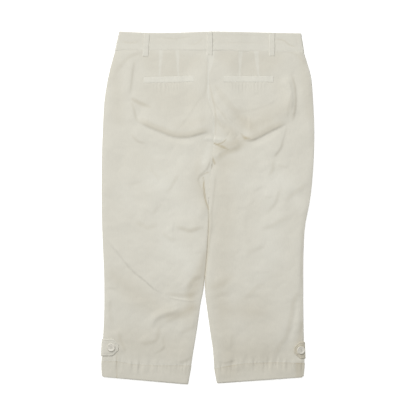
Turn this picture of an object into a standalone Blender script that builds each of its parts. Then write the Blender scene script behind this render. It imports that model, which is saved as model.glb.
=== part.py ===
"""Capri pants lying flat on a surface, back side up.

Metres, +Z up. The origin is the centre of the footprint, on the surface that the
garment lies on. +Y runs from the hems to the waist and +X to the wearer's right.
The cloth is a thin wall in layers: the fronts lie on the surface, what is sewn
inside lies on them, and the backs, with the folds that the garment fell into,
lie on top. Tables and sizes are in millimetres; mm() turns them into metres.
"""

import math
from collections import namedtuple

import bmesh
import bpy

OBJECT_NAME = "capri_pants"

# Cloth, in mm
CLOTH = 1.1                 # one layer of cotton twill, with the air in its weave
HEM_CLOTH = 2.0             # the turned-up hem
BAND_CLOTH = 1.4            # the interlined waistband, the welts and the belt loops
TAB_CLOTH = 1.3
SEAM_GAP = 0.4              # left between neighbours, sideways and up
LAYER_GAP = 0.3             # left between layers that lie on each other
EDGE_INSET = 0.8            # the fronts stop this far inside the backs' edges

# Heights of the layers, in mm
FRONT_TOP = CLOTH
REST = FRONT_TOP + LAYER_GAP  # underside of the backs where they touch the fronts
LOFT = 1.4                  # air under the backs, away from their edges
ROLL_REACH = 14.0           # the backs turn down to the fronts over this width
EDGE_CROWD = 0.6            # how strongly grid columns crowd toward such an edge, from 0 to 1
HEM_LIFT = HEM_CLOTH - CLOTH
FLY_LIFT = 2.4              # the backs rise this much over the zip
BAND_REST = 1.3             # the front waistband lies on its belt loops
BACK_BAND_REST = BAND_REST + BAND_CLOTH + LAYER_GAP
OVERLAP_LIFT = 2.8          # the waistband rises this much over its hook

# Sections across each leg and its half of the seat, from the waist seam to the hem.
# inner_roll is 0 where the backs are sewn together and 1 where a leg's inner edge turns down.
Section = namedtuple("Section", "outer_x outer_y inner_x inner_y inner_roll")
LEFT_SECTIONS = (
    Section(-201.4, 342.6, 2.4, 342.6, 0.0),
    Section(-208.0, 320.0, 2.4, 320.0, 0.0),
    Section(-217.4, 282.0, 2.2, 282.0, 0.0),
    Section(-225.2, 232.0, 3.4, 236.0, 0.0),
    Section(-228.4, 180.0, 12.4, 186.0, 0.0),
    Section(-230.4, 128.0, 12.0, 134.0, 0.1),
    Section(-231.3, 76.0, 7.0, 82.0, 0.8),
    Section(-231.3, 20.0, 2.0, 24.0, 1.0),
    Section(-230.4, -38.0, 1.6, -36.0, 1.0),
    Section(-228.2, -92.0, -1.9, -96.0, 1.0),
    Section(-226.0, -146.0, -7.2, -152.0, 1.0),
    Section(-225.6, -180.0, -10.4, -185.0, 1.0),
    Section(-225.4, -204.0, -15.4, -210.0, 1.0),
    Section(-226.6, -252.0, -23.4, -260.0, 1.0),
    Section(-229.6, -300.0, -31.6, -310.0, 1.0),
    Section(-231.5, -334.0, -36.6, -342.6, 1.0),
    Section(-226.6, -370.4, -44.0, -384.0, 1.0),
)
RIGHT_SECTIONS = (
    Section(209.8, 337.8, 2.8, 342.6, 0.0),
    Section(215.4, 320.0, 2.8, 320.0, 0.0),
    Section(224.8, 282.0, 2.6, 282.0, 0.0),
    Section(229.6, 232.0, 3.8, 236.0, 0.0),
    Section(231.4, 180.0, 12.8, 186.0, 0.0),
    Section(231.2, 128.0, 12.6, 134.0, 0.1),
    Section(229.0, 76.0, 7.6, 82.0, 0.8),
    Section(223.8, 20.0, 2.6, 24.0, 1.0),
    Section(212.8, -38.0, 2.2, -36.0, 1.0),
    Section(208.4, -92.0, -1.3, -96.0, 1.0),
    Section(207.7, -146.0, -6.1, -152.0, 1.0),
    Section(207.7, -180.0, -5.8, -185.0, 1.0),
    Section(207.7, -204.0, -3.0, -210.0, 1.0),
    Section(208.2, -252.0, 4.0, -260.0, 1.0),
    Section(209.2, -300.0, 11.2, -310.0, 1.0),
    Section(211.2, -338.0, 14.0, -345.6, 1.0),
    Section(204.6, -368.8, 19.4, -383.4, 1.0),
)
HEM_SECTION = 15            # row of both tables at the hem's stitching
ROW_TOLERANCE = 0.01
STEPS = 3                   # grid rows to each interval of the tables
BACK_COLUMNS = 14
FRONT_COLUMNS = 5

# Grid columns and rows of the smaller pieces
BAND_RISE_ROWS = 2
BAND_FRONT_COLUMNS = 4      # to each interval of the waistband's table
LOOP_GRID = (2, 14)
FRONT_LOOP_GRID = (1, 2)
WELT_GRID = (8, 1)
BAG_GRID = (4, 8)
TAB_GRID = (14, 4)

# The largest folds: each rises along a curve from start through middle to end.
Fold = namedtuple("Fold", "start_x start_y middle_x middle_y end_x end_y rise reach")
LEFT_FOLDS = (
    Fold(-163, 200, -87, 176, -4, 176, 4.5, 16),      # under the seat
    Fold(-173, 243, -161, 217, -154, 182, 3.0, 10),   # pinch beside the seat
    Fold(-127, 91, -102, 55, -80, 31, 3.0, 14),       # thigh
    Fold(-60, 76, -80, 31, -104, 8, 3.0, 12),
    Fold(-163, -29, -128, -42, -41, -50, 3.0, 14),    # above the knee
    Fold(-225, -59, -148, -150, -20, -183, 4.5, 14),  # long one across the knee
    Fold(-130, -266, -104, -229, -52, -209, 3.5, 12),
)
RIGHT_FOLDS = (
    Fold(179, 195, 131, 178, 70, 163, 4.5, 15),       # under the seat
    Fold(186, 291, 190, 239, 187, 187, 3.0, 9),       # down the hip
    Fold(9, 143, 39, 130, 81, 134, 3.0, 12),          # crotch
    Fold(162, 148, 144, 93, 128, 69, 3.0, 12),        # thigh
    Fold(221, 59, 179, 24, 140, 0, 3.0, 12),
    Fold(176, -20, 146, -35, 111, -42, 2.5, 12),
    Fold(207, -168, 181, -235, 151, -311, 3.5, 12),   # long one down the calf
)
FOLD_SAMPLES = 24
FOLD_TIP = 0.12             # a fold's ends are this far, in half waves, from where it would die out

# The waistband's back, read across it from the wearer's left to right.
Band = namedtuple("Band", "top_x top_y bottom_x bottom_y")
BAND_ROWS = (
    Band(-192.0, 382.4, -201.2, 343.0),
    Band(-134.0, 380.2, -138.0, 343.0),
    Band(-66.0, 381.6, -67.0, 343.0),
    Band(2.6, 384.0, 2.6, 343.0),
    Band(70.0, 383.2, 71.0, 341.4),
    Band(140.0, 381.4, 143.0, 339.8),
    Band(203.6, 378.4, 210.0, 338.2),
)
BAND_STEPS = 3              # grid columns to each interval of the table
CENTRE_FRONT = 3.0          # row of the table where the right front's end laps over the left
UNDERLAP_END = 3.5          # the left front's end runs on inside it to here
FRONT_DROP = 1.0            # the front's top edge is cut this much lower
BAND_END_X = 190.0          # beyond this the front narrows to stay inside the back's ends
OVERLAP_HALF = 78.0         # the back rises over the hook this far to each side of it
OVERLAP_FADE = 44.0         # and over this width
UNDERLAP_X = -34.0          # the left front's end starts to rise here
UNDERLAP_FADE = 30.0

# The closure, in mm
FLY_X = 15.0                # line of the zip
FLY_TOP_Y = 332.0
FLY_LENGTH = 160.0
FLY_SHIELD_WIDTH = 40.0
FLY_SHIELD_Z = 3.9
FLY_SHIELD_CLOTH = 1.0
FLY_BUMP_HALF = 62.0        # the backs rise over the zip this far to each side of it
FLY_BUMP_FADE = 34.0        # and over this width
FLY_BUMP_BELOW = 44.0       # their rise starts this far below the zip
FLY_BUMP_RUN = 30.0         # and is full after this length
ZIP_TAPE_WIDTH = 26.0
ZIP_TAPE_CLOTH = 0.6
ZIP_Z = 2.2
ZIP_STOP = 6.0              # the tape ends this far above the fly's end
SLIDER_WIDTH = 7.0
SLIDER_LENGTH = 11.0
SLIDER_PLATE = 0.5
SLIDER_SLOT = 1.2
SLIDER_BRIDGE = 2.0
SLIDER_DROP = 2.0           # below the fly's top
PULL_WIDTH = 5.0
PULL_LENGTH = 22.0
PULL_THICK = 0.5
PULL_HOLE = 1.2
PULL_HOLE_OFF = 7.9         # from the tab's middle
HOLE_SIDES = 16
HOLE_CUT = 12.0             # length of the cutters that make round holes
HOOK_X = 18.0
HOOK_Y = 356.0
HOOK_SIDE = 12.0
HOOK_THICK = 0.8
HOOK_SLOT = 2.8
HOOK_SLOT_DROP = 3.0        # the slot's middle is this far below the hook's
BAR_WIDTH = 2.0
BAR_LENGTH = 9.0
BAR_DROP = 2.0

# What is sewn on the outside: belt loops lean a little, so each end has its own place.
Loop = namedtuple("Loop", "name top_x top_y bottom_x bottom_y")
BACK_LOOPS = (
    Loop("belt_loop_back_left", -132.6, 378.4, -136.2, 329.6),
    Loop("belt_loop_back_centre", 4.2, 381.6, 4.2, 333.6),
    Loop("belt_loop_back_right", 139.4, 379.4, 139.4, 330.8),
)
FRONT_LOOPS = (
    Loop("belt_loop_front_left", -96.0, 377.0, -98.0, 343.6),
    Loop("belt_loop_front_right", 104.0, 378.0, 106.0, 342.0),
)
LOOP_WIDTH = 11.8
LOOP_CLOTH = 1.0
LOOP_STEP_Y = 335.0         # a loop steps up here from the backs to the waistband
LOOP_STEP_RUN = 6.0

Welt = namedtuple("Welt", "side outer_x outer_y inner_x inner_y")
WELTS = (
    Welt("left", -139.4, 277.4, -30.4, 280.6),
    Welt("right", 142.6, 279.6, 34.8, 279.8),
)
WELT_HEIGHT = 12.0
BAG_WIDTH = 114.0
BAG_TOP = 12.0              # the bag starts this far above the welt
BAG_DEPTH = 70.0            # and ends this far below it
BAG_Z = REST
BAG_CLOTH = 1.0
BAG_CORNER = 0.9            # how far its lower corners are rounded away, from 0 to 1

Tab = namedtuple("Tab", "side tip_x centre_y button_x button_tilt")
TABS = (
    Tab("left", -194.2, -303.4, -210.4, 0.0),
    Tab("right", 187.4, -311.4, 201.6, 4.0),
)
TAB_WIDTH = 35.0
TAB_POINT = 13.0            # length of its tapered end
TAB_TIP_WIDTH = 9.0
TAB_WRAP = 8.0              # length of the tab that goes down round the leg's edge
TAB_CLEAR = 0.7             # between the tab and the back under it
TAB_LOFT = LOFT + LAYER_GAP
TAB_EDGE = 4.0              # the tab starts to bend down this far before the leg's edge
TAB_FLARE = 0.2             # and leans outward by this on its way down
TAB_END_Z = 0.3

# The button's section, from the middle of its dished face round its rim to the middle of its back
BUTTON_R = 8.75
Ring = namedtuple("Ring", "radius height")
BUTTON_PROFILE = (
    Ring(0.0, 1.8),
    Ring(5.8, 1.8),
    Ring(7.0, 2.6),
    Ring(8.25, 2.4),
    Ring(BUTTON_R, 1.5),
    Ring(7.95, 0.3),
    Ring(6.75, 0.0),
    Ring(0.0, 0.0),
)
BUTTON_HOLES = 4
BUTTON_HOLE_R = 0.9
BUTTON_HOLE_OFF = 1.9
BUTTON_SHARP = 35.0         # edges sharper than this many degrees stay crisp
MERGE = 0.00001
ROUND_STEPS = 32

# Materials: name, base colour in linear light, roughness, metallic
Finish = namedtuple("Finish", "colour roughness metallic")
FINISHES = {
    "cotton_twill": Finish((0.69, 0.67, 0.59), 0.85, 0.0),
    "pocketing": Finish((0.74, 0.73, 0.69), 0.9, 0.0),
    "button_resin": Finish((0.62, 0.58, 0.50), 0.3, 0.0),
    "zip_tape": Finish((0.72, 0.71, 0.66), 0.8, 0.0),
    "zip_metal": Finish((0.66, 0.65, 0.62), 0.3, 1.0),
    "hook_steel": Finish((0.60, 0.60, 0.60), 0.3, 1.0),
}


def mm(value):
    return value * 0.001


def clamp01(value):
    return min(max(value, 0.0), 1.0)


def smoothstep(value):
    t = clamp01(value)
    return t * t * (3.0 - 2.0 * t)


def read_rows(rows, t):
    """A row between the table's rows, on a smooth curve through them; t counts rows from 0."""
    last = len(rows) - 1
    i = min(int(t), last - 1)
    t -= i
    before, here, there, after = rows[max(i - 1, 0)], rows[i], rows[i + 1], rows[min(i + 2, last)]
    return tuple(
        b + 0.5 * t * (c - a + t * (2 * a - 5 * b + 4 * c - d + t * (3 * (b - c) + d - a)))
        for a, b, c, d in zip(before, here, there, after)
    )


def smooth_rows(rows, steps):
    """The table's rows, with steps - 1 more between each two of them."""
    return [read_rows(rows, k / steps) for k in range((len(rows) - 1) * steps + 1)]


def outer_edge(sections, y):
    """X of the outer edge at a height y on it."""
    rows = smooth_rows(sections, STEPS)
    for above, below in zip(rows, rows[1:]):
        if below[1] <= y <= above[1]:
            return below[0] + (above[0] - below[0]) * (y - below[1]) / (above[1] - below[1])
    raise ValueError("no section at y = %.1f" % y)


def fold_height(folds, x, y):
    """Height that the folds add at a place: round across each fold and tapered to its ends."""
    height = 0.0
    for fold in folds:
        nearest = math.inf
        taper = 0.0
        for k in range(FOLD_SAMPLES + 1):
            t = k / FOLD_SAMPLES
            weights = (2 * (t - 0.5) * (t - 1), 4 * t * (1 - t), 2 * t * (t - 0.5))
            fx = sum(w * p for w, p in zip(weights, (fold.start_x, fold.middle_x, fold.end_x)))
            fy = sum(w * p for w, p in zip(weights, (fold.start_y, fold.middle_y, fold.end_y)))
            away = math.hypot(x - fx, y - fy)
            if away < nearest:
                nearest = away
                taper = math.sin(math.pi * (FOLD_TIP + (1.0 - 2.0 * FOLD_TIP) * t))
        height += fold.rise * taper * math.exp(-((nearest / fold.reach) ** 2))
    return height


def fly_rise(x, y):
    """0 away from the zip and 1 over it."""
    across = smoothstep((FLY_BUMP_HALF - abs(x - FLY_X)) / FLY_BUMP_FADE)
    along = smoothstep((y - (FLY_TOP_Y - FLY_LENGTH - FLY_BUMP_BELOW)) / FLY_BUMP_RUN)
    return across * along


def edge_rise(distance):
    """0 on a rolled edge and 1 from ROLL_REACH inward, on a quarter round."""
    t = clamp01(distance / ROLL_REACH)
    return math.sqrt(1.0 - (1.0 - t) ** 2)


def back_under(folds, section, hem_weight, x, y):
    """Underside of the backs, at a place on one of their sections."""
    outer_x, _, inner_x, _, inner_roll = section
    rise = edge_rise(abs(x - outer_x))
    rise *= 1.0 - inner_roll * (1.0 - edge_rise(abs(x - inner_x)))
    height = LOFT + FLY_LIFT * fly_rise(x, y) + fold_height(folds, x, y)
    return REST + HEM_LIFT * hem_weight + height * rise


def spread(u):
    """Moves grid columns toward a panel's two edges, where it rolls down."""
    return (1.0 - EDGE_CROWD) * u + EDGE_CROWD * 0.5 * (1.0 - math.cos(math.pi * u))


def new_material(name):
    finish = FINISHES[name]
    material = bpy.data.materials.new(name)
    material.use_nodes = True
    shader = material.node_tree.nodes["Principled BSDF"]
    shader.inputs["Base Color"].default_value = (*finish.colour, 1.0)
    shader.inputs["Roughness"].default_value = finish.roughness
    shader.inputs["Metallic"].default_value = finish.metallic
    return material


def add_object(name, mesh, material):
    made = bpy.data.objects.new(name, mesh)
    made.data.materials.append(bpy.data.materials[material])
    bpy.data.collections[OBJECT_NAME].objects.link(made)
    return made


def cloth(name, columns, rows, place, thick, material, weight=None, thin=None):
    """A grid laid through place(u, v), thickened upward; weight(v) of 1 is thick and 0 thin."""
    bm = bmesh.new()
    bmesh.ops.create_grid(bm, x_segments=columns, y_segments=rows, size=0.5)
    layers = []
    for vert in bm.verts:
        u = vert.co.x + 0.5
        v = 0.5 - vert.co.y
        layers.append(weight(v) if weight else 1.0)
        vert.co = [mm(c) for c in place(u, v)]
    mesh = bpy.data.meshes.new(name)
    bm.to_mesh(mesh)
    bm.free()
    made = add_object(name, mesh, material)
    wall = made.modifiers.new("wall", "SOLIDIFY")
    wall.thickness = mm(thick)
    wall.offset = 1.0
    if weight:
        group = made.vertex_groups.new(name="layers")
        for index, amount in enumerate(layers):
            group.add([index], amount, "REPLACE")
        wall.vertex_group = group.name
        wall.thickness_vertex_group = thin / thick
    mesh.shade_smooth()
    return made


def hem_weight_at(v):
    """0 above the hem's stitching and 1 below it; v is 0 at the waist and 1 at the hem."""
    return 1.0 if v * (len(LEFT_SECTIONS) - 1) > HEM_SECTION - ROW_TOLERANCE else 0.0


def make_backs():
    """Left and right back: the seat, and the back of each leg."""
    sides = (("left", LEFT_SECTIONS, LEFT_FOLDS), ("right", RIGHT_SECTIONS, RIGHT_FOLDS))
    for side, sections, folds in sides:
        rows = smooth_rows(sections, STEPS)

        def place(u, v):
            row = rows[round(v * (len(rows) - 1))]
            across = spread(u if side == "left" else 1.0 - u)
            x = row[0] + (row[2] - row[0]) * across
            y = row[1] + (row[3] - row[1]) * across
            return x, y, back_under(folds, row, hem_weight_at(v), x, y)

        cloth("back_" + side, BACK_COLUMNS, len(rows) - 1, place,
              HEM_CLOTH, "cotton_twill", hem_weight_at, CLOTH)


def make_fronts():
    """Left and right front: flat on the surface, a little inside the backs' edges."""
    for side, sections in (("left", LEFT_SECTIONS), ("right", RIGHT_SECTIONS)):
        rows = smooth_rows(sections, STEPS)
        sign = -1.0 if side == "left" else 1.0

        def place(u, v):
            row = rows[round(v * (len(rows) - 1))]
            across = u if side == "left" else 1.0 - u
            outer_x = row[0] - sign * EDGE_INSET
            inner_x = row[2] + sign * EDGE_INSET * row[4]
            x = outer_x + (inner_x - outer_x) * across
            y = row[1] + (row[3] - row[1]) * across
            return x, y, 0.0

        cloth("front_" + side, FRONT_COLUMNS, len(rows) - 1, place,
              HEM_CLOTH, "cotton_twill", hem_weight_at, CLOTH)


def band_point(t, v):
    """Place on the waistband: t counts its rows across the wearer, v runs from top edge to seam."""
    row = read_rows(BAND_ROWS, t)
    return row[0] + (row[2] - row[0]) * v, row[1] + (row[3] - row[1]) * v


def overlap_rise(x):
    """0 away from the waistband's hook and 1 over it."""
    return smoothstep((OVERLAP_HALF - abs(x - HOOK_X)) / OVERLAP_FADE)


def underlap_lift(x):
    """The left front end's rise over the right one and over the hook."""
    return OVERLAP_LIFT * smoothstep((x - UNDERLAP_X) / UNDERLAP_FADE)


def no_lift(x):
    return 0.0


def make_waistband():
    """The waistband's back in one piece, and its front in two that lap at the hook."""
    last = len(BAND_ROWS) - 1

    def place_back(u, v):
        x, y = band_point(u * last, v)
        return x, y, BACK_BAND_REST + OVERLAP_LIFT * overlap_rise(x)

    cloth("waistband_back", last * BAND_STEPS, BAND_RISE_ROWS, place_back, BAND_CLOTH, "cotton_twill")
    fronts = (
        ("waistband_front_left", 0.0, UNDERLAP_END, underlap_lift),
        ("waistband_front_right", CENTRE_FRONT, float(last), no_lift),
    )
    for name, first, end, lift in fronts:
        def place(u, v):
            x, y = band_point(first + (end - first) * u, v)
            inset = EDGE_INSET * (clamp01(-x - BAND_END_X) - clamp01(x - BAND_END_X))
            return x + inset, y - FRONT_DROP * (1.0 - v), BAND_REST + lift(x)

        columns = round((end - first) * BAND_FRONT_COLUMNS)
        cloth(name, columns, BAND_RISE_ROWS, place, BAND_CLOTH, "cotton_twill")


def panel_top(x, y):
    """Upper face of the backs where nothing folds them, away from their edges."""
    return REST + LOFT + FLY_LIFT * fly_rise(x, y) + CLOTH


def make_belt_loops():
    """Back loops lie on the waistband and a little of the backs, front loops under the waistband."""
    for loop in BACK_LOOPS:
        def place(u, v, loop=loop):
            x = loop.top_x + (loop.bottom_x - loop.top_x) * v + (u - 0.5) * LOOP_WIDTH
            y = loop.top_y + (loop.bottom_y - loop.top_y) * v
            band_top = BACK_BAND_REST + OVERLAP_LIFT * overlap_rise(x) + BAND_CLOTH
            seat_top = panel_top(x, y)
            over_band = smoothstep((y - LOOP_STEP_Y) / LOOP_STEP_RUN)
            return x, y, seat_top + (band_top - seat_top) * over_band + SEAM_GAP
        cloth(loop.name, *LOOP_GRID, place, LOOP_CLOTH, "cotton_twill")
    for loop in FRONT_LOOPS:
        def place_under(u, v, loop=loop):
            x = loop.top_x + (loop.bottom_x - loop.top_x) * v + (u - 0.5) * LOOP_WIDTH
            return x, loop.top_y + (loop.bottom_y - loop.top_y) * v, 0.0
        cloth(loop.name, *FRONT_LOOP_GRID, place_under, LOOP_CLOTH, "cotton_twill")


def make_pockets():
    """One welt on each back, and its bag between the back and the front."""
    for welt in WELTS:
        sign = 1.0 if welt.inner_x > welt.outer_x else -1.0

        def place_welt(u, v, welt=welt, sign=sign):
            across = u if sign > 0 else 1.0 - u
            x = welt.outer_x + (welt.inner_x - welt.outer_x) * across
            y = welt.outer_y + (welt.inner_y - welt.outer_y) * across + (0.5 - v) * WELT_HEIGHT
            return x, y, panel_top(x, y) + SEAM_GAP

        cloth("welt_" + welt.side, *WELT_GRID, place_welt, CLOTH, "cotton_twill")
        centre_x = 0.5 * (welt.outer_x + welt.inner_x)
        centre_y = 0.5 * (welt.outer_y + welt.inner_y)

        def place_bag(u, v, centre_x=centre_x, centre_y=centre_y):
            half = 0.5 * BAG_WIDTH * math.sqrt(1.0 - (BAG_CORNER * v) ** 4)
            x = centre_x + (2.0 * u - 1.0) * half
            return x, centre_y + BAG_TOP - (BAG_TOP + BAG_DEPTH) * v, BAG_Z

        cloth("pocket_bag_" + welt.side, *BAG_GRID, place_bag, BAG_CLOTH, "pocketing")


def make_tabs():
    """A pointed tab at each hem: from the slit's edge round the leg's outer edge to the back."""
    for tab in TABS:
        sign = -1.0 if tab.side == "left" else 1.0
        sections = LEFT_SECTIONS if tab.side == "left" else RIGHT_SECTIONS
        flat = abs(outer_edge(sections, tab.centre_y) - tab.tip_x)

        def place(u, v):
            along = (1.0 - u if sign < 0 else u) * (flat + TAB_WRAP)     # from the tip, out and then down
            half = 0.5 * TAB_WIDTH
            if along < TAB_POINT:
                half = 0.5 * TAB_TIP_WIDTH + (half - 0.5 * TAB_TIP_WIDTH) * (along / TAB_POINT)
            y = tab.centre_y + (1.0 - 2.0 * v) * half
            inside = max(flat - along, 0.0)
            down = max(along - flat, 0.0) / TAB_WRAP
            top = REST + CLOTH + TAB_CLEAR + TAB_LOFT * edge_rise(inside + TAB_EDGE)
            x = outer_edge(sections, y) + sign * (SEAM_GAP + TAB_FLARE * down - inside)
            return x, y, top + (TAB_END_Z - top) * down

        cloth("hem_tab_" + tab.side, *TAB_GRID, place, TAB_CLOTH, "cotton_twill")


def button_mesh():
    """A turned disc with a dished face inside its rim, and its thread holes cut through."""
    profile = bpy.data.meshes.new("button_profile")
    bm = bmesh.new()
    verts = [bm.verts.new((mm(r), 0.0, mm(z))) for r, z in BUTTON_PROFILE]
    for a, b in zip(verts, verts[1:]):
        bm.edges.new((a, b))
    bm.to_mesh(profile)
    bm.free()
    turned = bpy.data.objects.new("button_turned", profile)
    bpy.data.collections[OBJECT_NAME].objects.link(turned)
    screw = turned.modifiers.new("turn", "SCREW")
    screw.steps = ROUND_STEPS
    screw.render_steps = ROUND_STEPS
    screw.use_merge_vertices = True
    screw.merge_threshold = MERGE
    for k in range(BUTTON_HOLES):
        angle = math.tau * (k + 0.5) / BUTTON_HOLES
        where = (mm(BUTTON_HOLE_OFF) * math.cos(angle), mm(BUTTON_HOLE_OFF) * math.sin(angle), 0.0)
        bpy.ops.mesh.primitive_cylinder_add(
            vertices=HOLE_SIDES, radius=mm(BUTTON_HOLE_R), depth=mm(HOLE_CUT), location=where)
        cutter = bpy.context.object
        cutter.name = "thread_hole_%d" % k
        move_to_cutters(cutter)
        cut = turned.modifiers.new(cutter.name, "BOOLEAN")
        cut.object = cutter
    bpy.context.view_layer.update()
    made = bpy.data.meshes.new_from_object(turned.evaluated_get(bpy.context.evaluated_depsgraph_get()))
    bpy.data.objects.remove(turned)
    made.shade_smooth()
    made.set_sharp_from_angle(angle=math.radians(BUTTON_SHARP))
    return made


def make_buttons():
    """A button on each hem tab; the right one leans round the leg's edge with its tab."""
    mesh = button_mesh()
    for tab in TABS:
        made = add_object("hem_button_" + tab.side, mesh.copy(), "button_resin")
        tilt = math.radians(tab.button_tilt)
        top = REST + CLOTH + TAB_CLEAR + TAB_LOFT + TAB_CLOTH + SEAM_GAP
        made.location = (mm(tab.button_x), mm(tab.centre_y), mm(top + 0.5 * BUTTON_R * math.sin(tilt)))
        made.rotation_euler = (0.0, tilt, 0.0)


def move_to_cutters(made):
    for collection in list(made.users_collection):
        collection.objects.unlink(made)
    bpy.data.collections["cutters"].objects.link(made)
    made.hide_render = True
    made.display_type = "WIRE"


def box(name, size, centre, material=None):
    """A box primitive with its scale applied; without a material it's a cutter."""
    bpy.ops.mesh.primitive_cube_add(size=1.0, location=[mm(c) for c in centre])
    made = bpy.context.object
    made.name = name
    made.scale = [mm(s) for s in size]
    bpy.ops.object.transform_apply(location=False, rotation=False, scale=True)
    if material is None:
        move_to_cutters(made)
        return made
    for collection in list(made.users_collection):
        collection.objects.unlink(made)
    bpy.data.collections[OBJECT_NAME].objects.link(made)
    made.data.materials.append(bpy.data.materials[material])
    return made


def cut_with(made, cutter):
    cut = made.modifiers.new(cutter.name, "BOOLEAN")
    cut.object = cutter


def make_fly():
    """The shield, the zip's tape and chain as one strip, its slider at the top and its pull tab."""
    middle_y = FLY_TOP_Y - 0.5 * FLY_LENGTH
    box("fly_shield", (FLY_SHIELD_WIDTH, FLY_LENGTH, FLY_SHIELD_CLOTH),
        (FLY_X, middle_y, FLY_SHIELD_Z + 0.5 * FLY_SHIELD_CLOTH), "cotton_twill")
    slider_top = FLY_TOP_Y - SLIDER_DROP
    slider_y = slider_top - 0.5 * SLIDER_LENGTH
    slider_height = 2 * SLIDER_PLATE + SLIDER_SLOT
    slider = box("zip_slider", (SLIDER_WIDTH, SLIDER_LENGTH, slider_height),
                 (FLY_X, slider_y, REST + 0.5 * slider_height), "zip_metal")
    slot = box("slider_slot", (2 * SLIDER_WIDTH, SLIDER_LENGTH, SLIDER_SLOT),
               (FLY_X, slider_y - SLIDER_BRIDGE, REST + 0.5 * slider_height))
    cut_with(slider, slot)
    tape_top = slider_top - SLIDER_BRIDGE - SEAM_GAP
    tape_end = FLY_TOP_Y - FLY_LENGTH + ZIP_STOP
    box("zip_tape", (ZIP_TAPE_WIDTH, tape_top - tape_end, ZIP_TAPE_CLOTH),
        (FLY_X, 0.5 * (tape_top + tape_end), ZIP_Z + 0.5 * ZIP_TAPE_CLOTH), "zip_tape")
    pull_y = slider_top - SLIDER_LENGTH - SEAM_GAP - 0.5 * PULL_LENGTH
    pull = box("zip_pull", (PULL_WIDTH, PULL_LENGTH, PULL_THICK),
               (FLY_X, pull_y, REST + 0.5 * PULL_THICK), "zip_metal")
    bpy.ops.mesh.primitive_cylinder_add(
        vertices=HOLE_SIDES, radius=mm(PULL_HOLE), depth=mm(HOLE_CUT),
        location=(mm(FLY_X), mm(pull_y + PULL_HOLE_OFF), mm(REST)))
    hole = bpy.context.object
    hole.name = "pull_hole"
    move_to_cutters(hole)
    cut_with(pull, hole)


def make_waist_hook():
    """A flat hook with its bar in its slot, between the waistband's lapped ends."""
    level = BAND_REST + BAND_CLOTH + LAYER_GAP + 0.5 * HOOK_THICK
    hook = box("waist_hook", (HOOK_SIDE, HOOK_SIDE, HOOK_THICK), (HOOK_X, HOOK_Y, level), "hook_steel")
    slot = box("hook_slot", (HOOK_SLOT, HOOK_SIDE, 4 * HOOK_THICK), (HOOK_X, HOOK_Y - HOOK_SLOT_DROP, level))
    cut_with(hook, slot)
    box("waist_bar", (BAR_WIDTH, BAR_LENGTH, HOOK_THICK), (HOOK_X, HOOK_Y - BAR_DROP, level), "hook_steel")


def main():
    for old in list(bpy.data.objects):
        bpy.data.objects.remove(old)
    for name in (OBJECT_NAME, "cutters"):
        bpy.context.scene.collection.children.link(bpy.data.collections.new(name))
    for name in FINISHES:
        new_material(name)
    make_fronts()
    make_backs()
    make_waistband()
    make_belt_loops()
    make_pockets()
    make_tabs()
    make_buttons()
    make_fly()
    make_waist_hook()


main()
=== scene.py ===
"""Capri pants lying flat on a pale floor, back side up.

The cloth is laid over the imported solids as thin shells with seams, creases and stitching.
Tables are in millimetres, with +X to the wearer's right, +Y to the waist and +Z up.
"""

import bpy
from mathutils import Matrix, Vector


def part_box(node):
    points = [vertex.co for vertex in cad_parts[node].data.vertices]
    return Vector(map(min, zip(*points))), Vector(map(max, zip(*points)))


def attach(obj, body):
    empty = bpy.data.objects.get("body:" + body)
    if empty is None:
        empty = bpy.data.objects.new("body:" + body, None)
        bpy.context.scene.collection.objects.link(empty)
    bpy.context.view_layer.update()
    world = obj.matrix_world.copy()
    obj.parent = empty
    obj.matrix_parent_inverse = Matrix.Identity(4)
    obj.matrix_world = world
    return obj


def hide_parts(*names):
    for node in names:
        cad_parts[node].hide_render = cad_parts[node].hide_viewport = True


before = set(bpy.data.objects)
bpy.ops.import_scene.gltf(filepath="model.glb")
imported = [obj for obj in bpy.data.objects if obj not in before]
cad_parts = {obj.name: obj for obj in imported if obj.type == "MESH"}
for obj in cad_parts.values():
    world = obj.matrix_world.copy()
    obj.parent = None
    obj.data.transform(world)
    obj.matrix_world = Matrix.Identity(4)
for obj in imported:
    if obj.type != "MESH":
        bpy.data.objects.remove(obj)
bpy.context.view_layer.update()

import math
from collections import namedtuple

import bmesh
import bpy
import numpy as np
from mathutils import Matrix, Vector

bl_info = {
    "name": "Capri pants",
    "version": (1, 0, 0),
    "blender": (4, 5, 0),
    "location": "View3D > Sidebar > Capri pants",
    "description": "Cloth, seams, creases and stitching of capri pants that lie flat, back side up",
    "category": "Object",
}

MM = 0.001
ROOT = "root"

# ------------------------------------------------------------------ levels, in mm
FLOOR_Z = -0.3              # the stage is this far under the garment
EDGE_Z = 0.35               # lowest point of a rolled edge
REST = 1.5                  # underside of the backs beside a rolled edge
WAIST_LOFT = 1.9            # air under the backs at the waist seam
SEAT_LOFT = 2.9             # and from the seat down
WAIST_SLOPE = 70.0          # it grows from one to the other over this length
LOFT_REACH = 26.0           # and from a rolled edge inwards over this width
ROUND = 2.2                 # radius of a rolled edge
LEAST_UNDER = 2.15          # creases go no lower than this over the fronts,
LEAST_OVER_BAG = 2.75       # than this over a pocket bag
LEAST_OVER_FLY = 5.15       # and than this over the zip and its shield
FLY_LIFT = 2.5              # the backs rise this much over the zip and the hook
SEAM_SINK = 0.2             # the centre seam lies this much lower than the cloth beside it
WAIST_SINK = 0.12           # and the waist seam this much
SEAM_FAR = 80.0             # the centre seam counts as at least this far from a rolled edge
HEM_TURN = 1.0              # the hem's folded edge turns down this far
HEM_ROUND = 1.6             # over this width
FRONT_INSET = 1.5           # the fronts stop this far inside the backs' wall
BAND_REST = 1.35            # underside of the front waistband
BACK_BAND_REST = 3.4        # underside of its back
BAND_LEAST = 0.3            # nothing of it goes lower than this
BAND_END = 0.4              # its ends roll down to this
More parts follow.
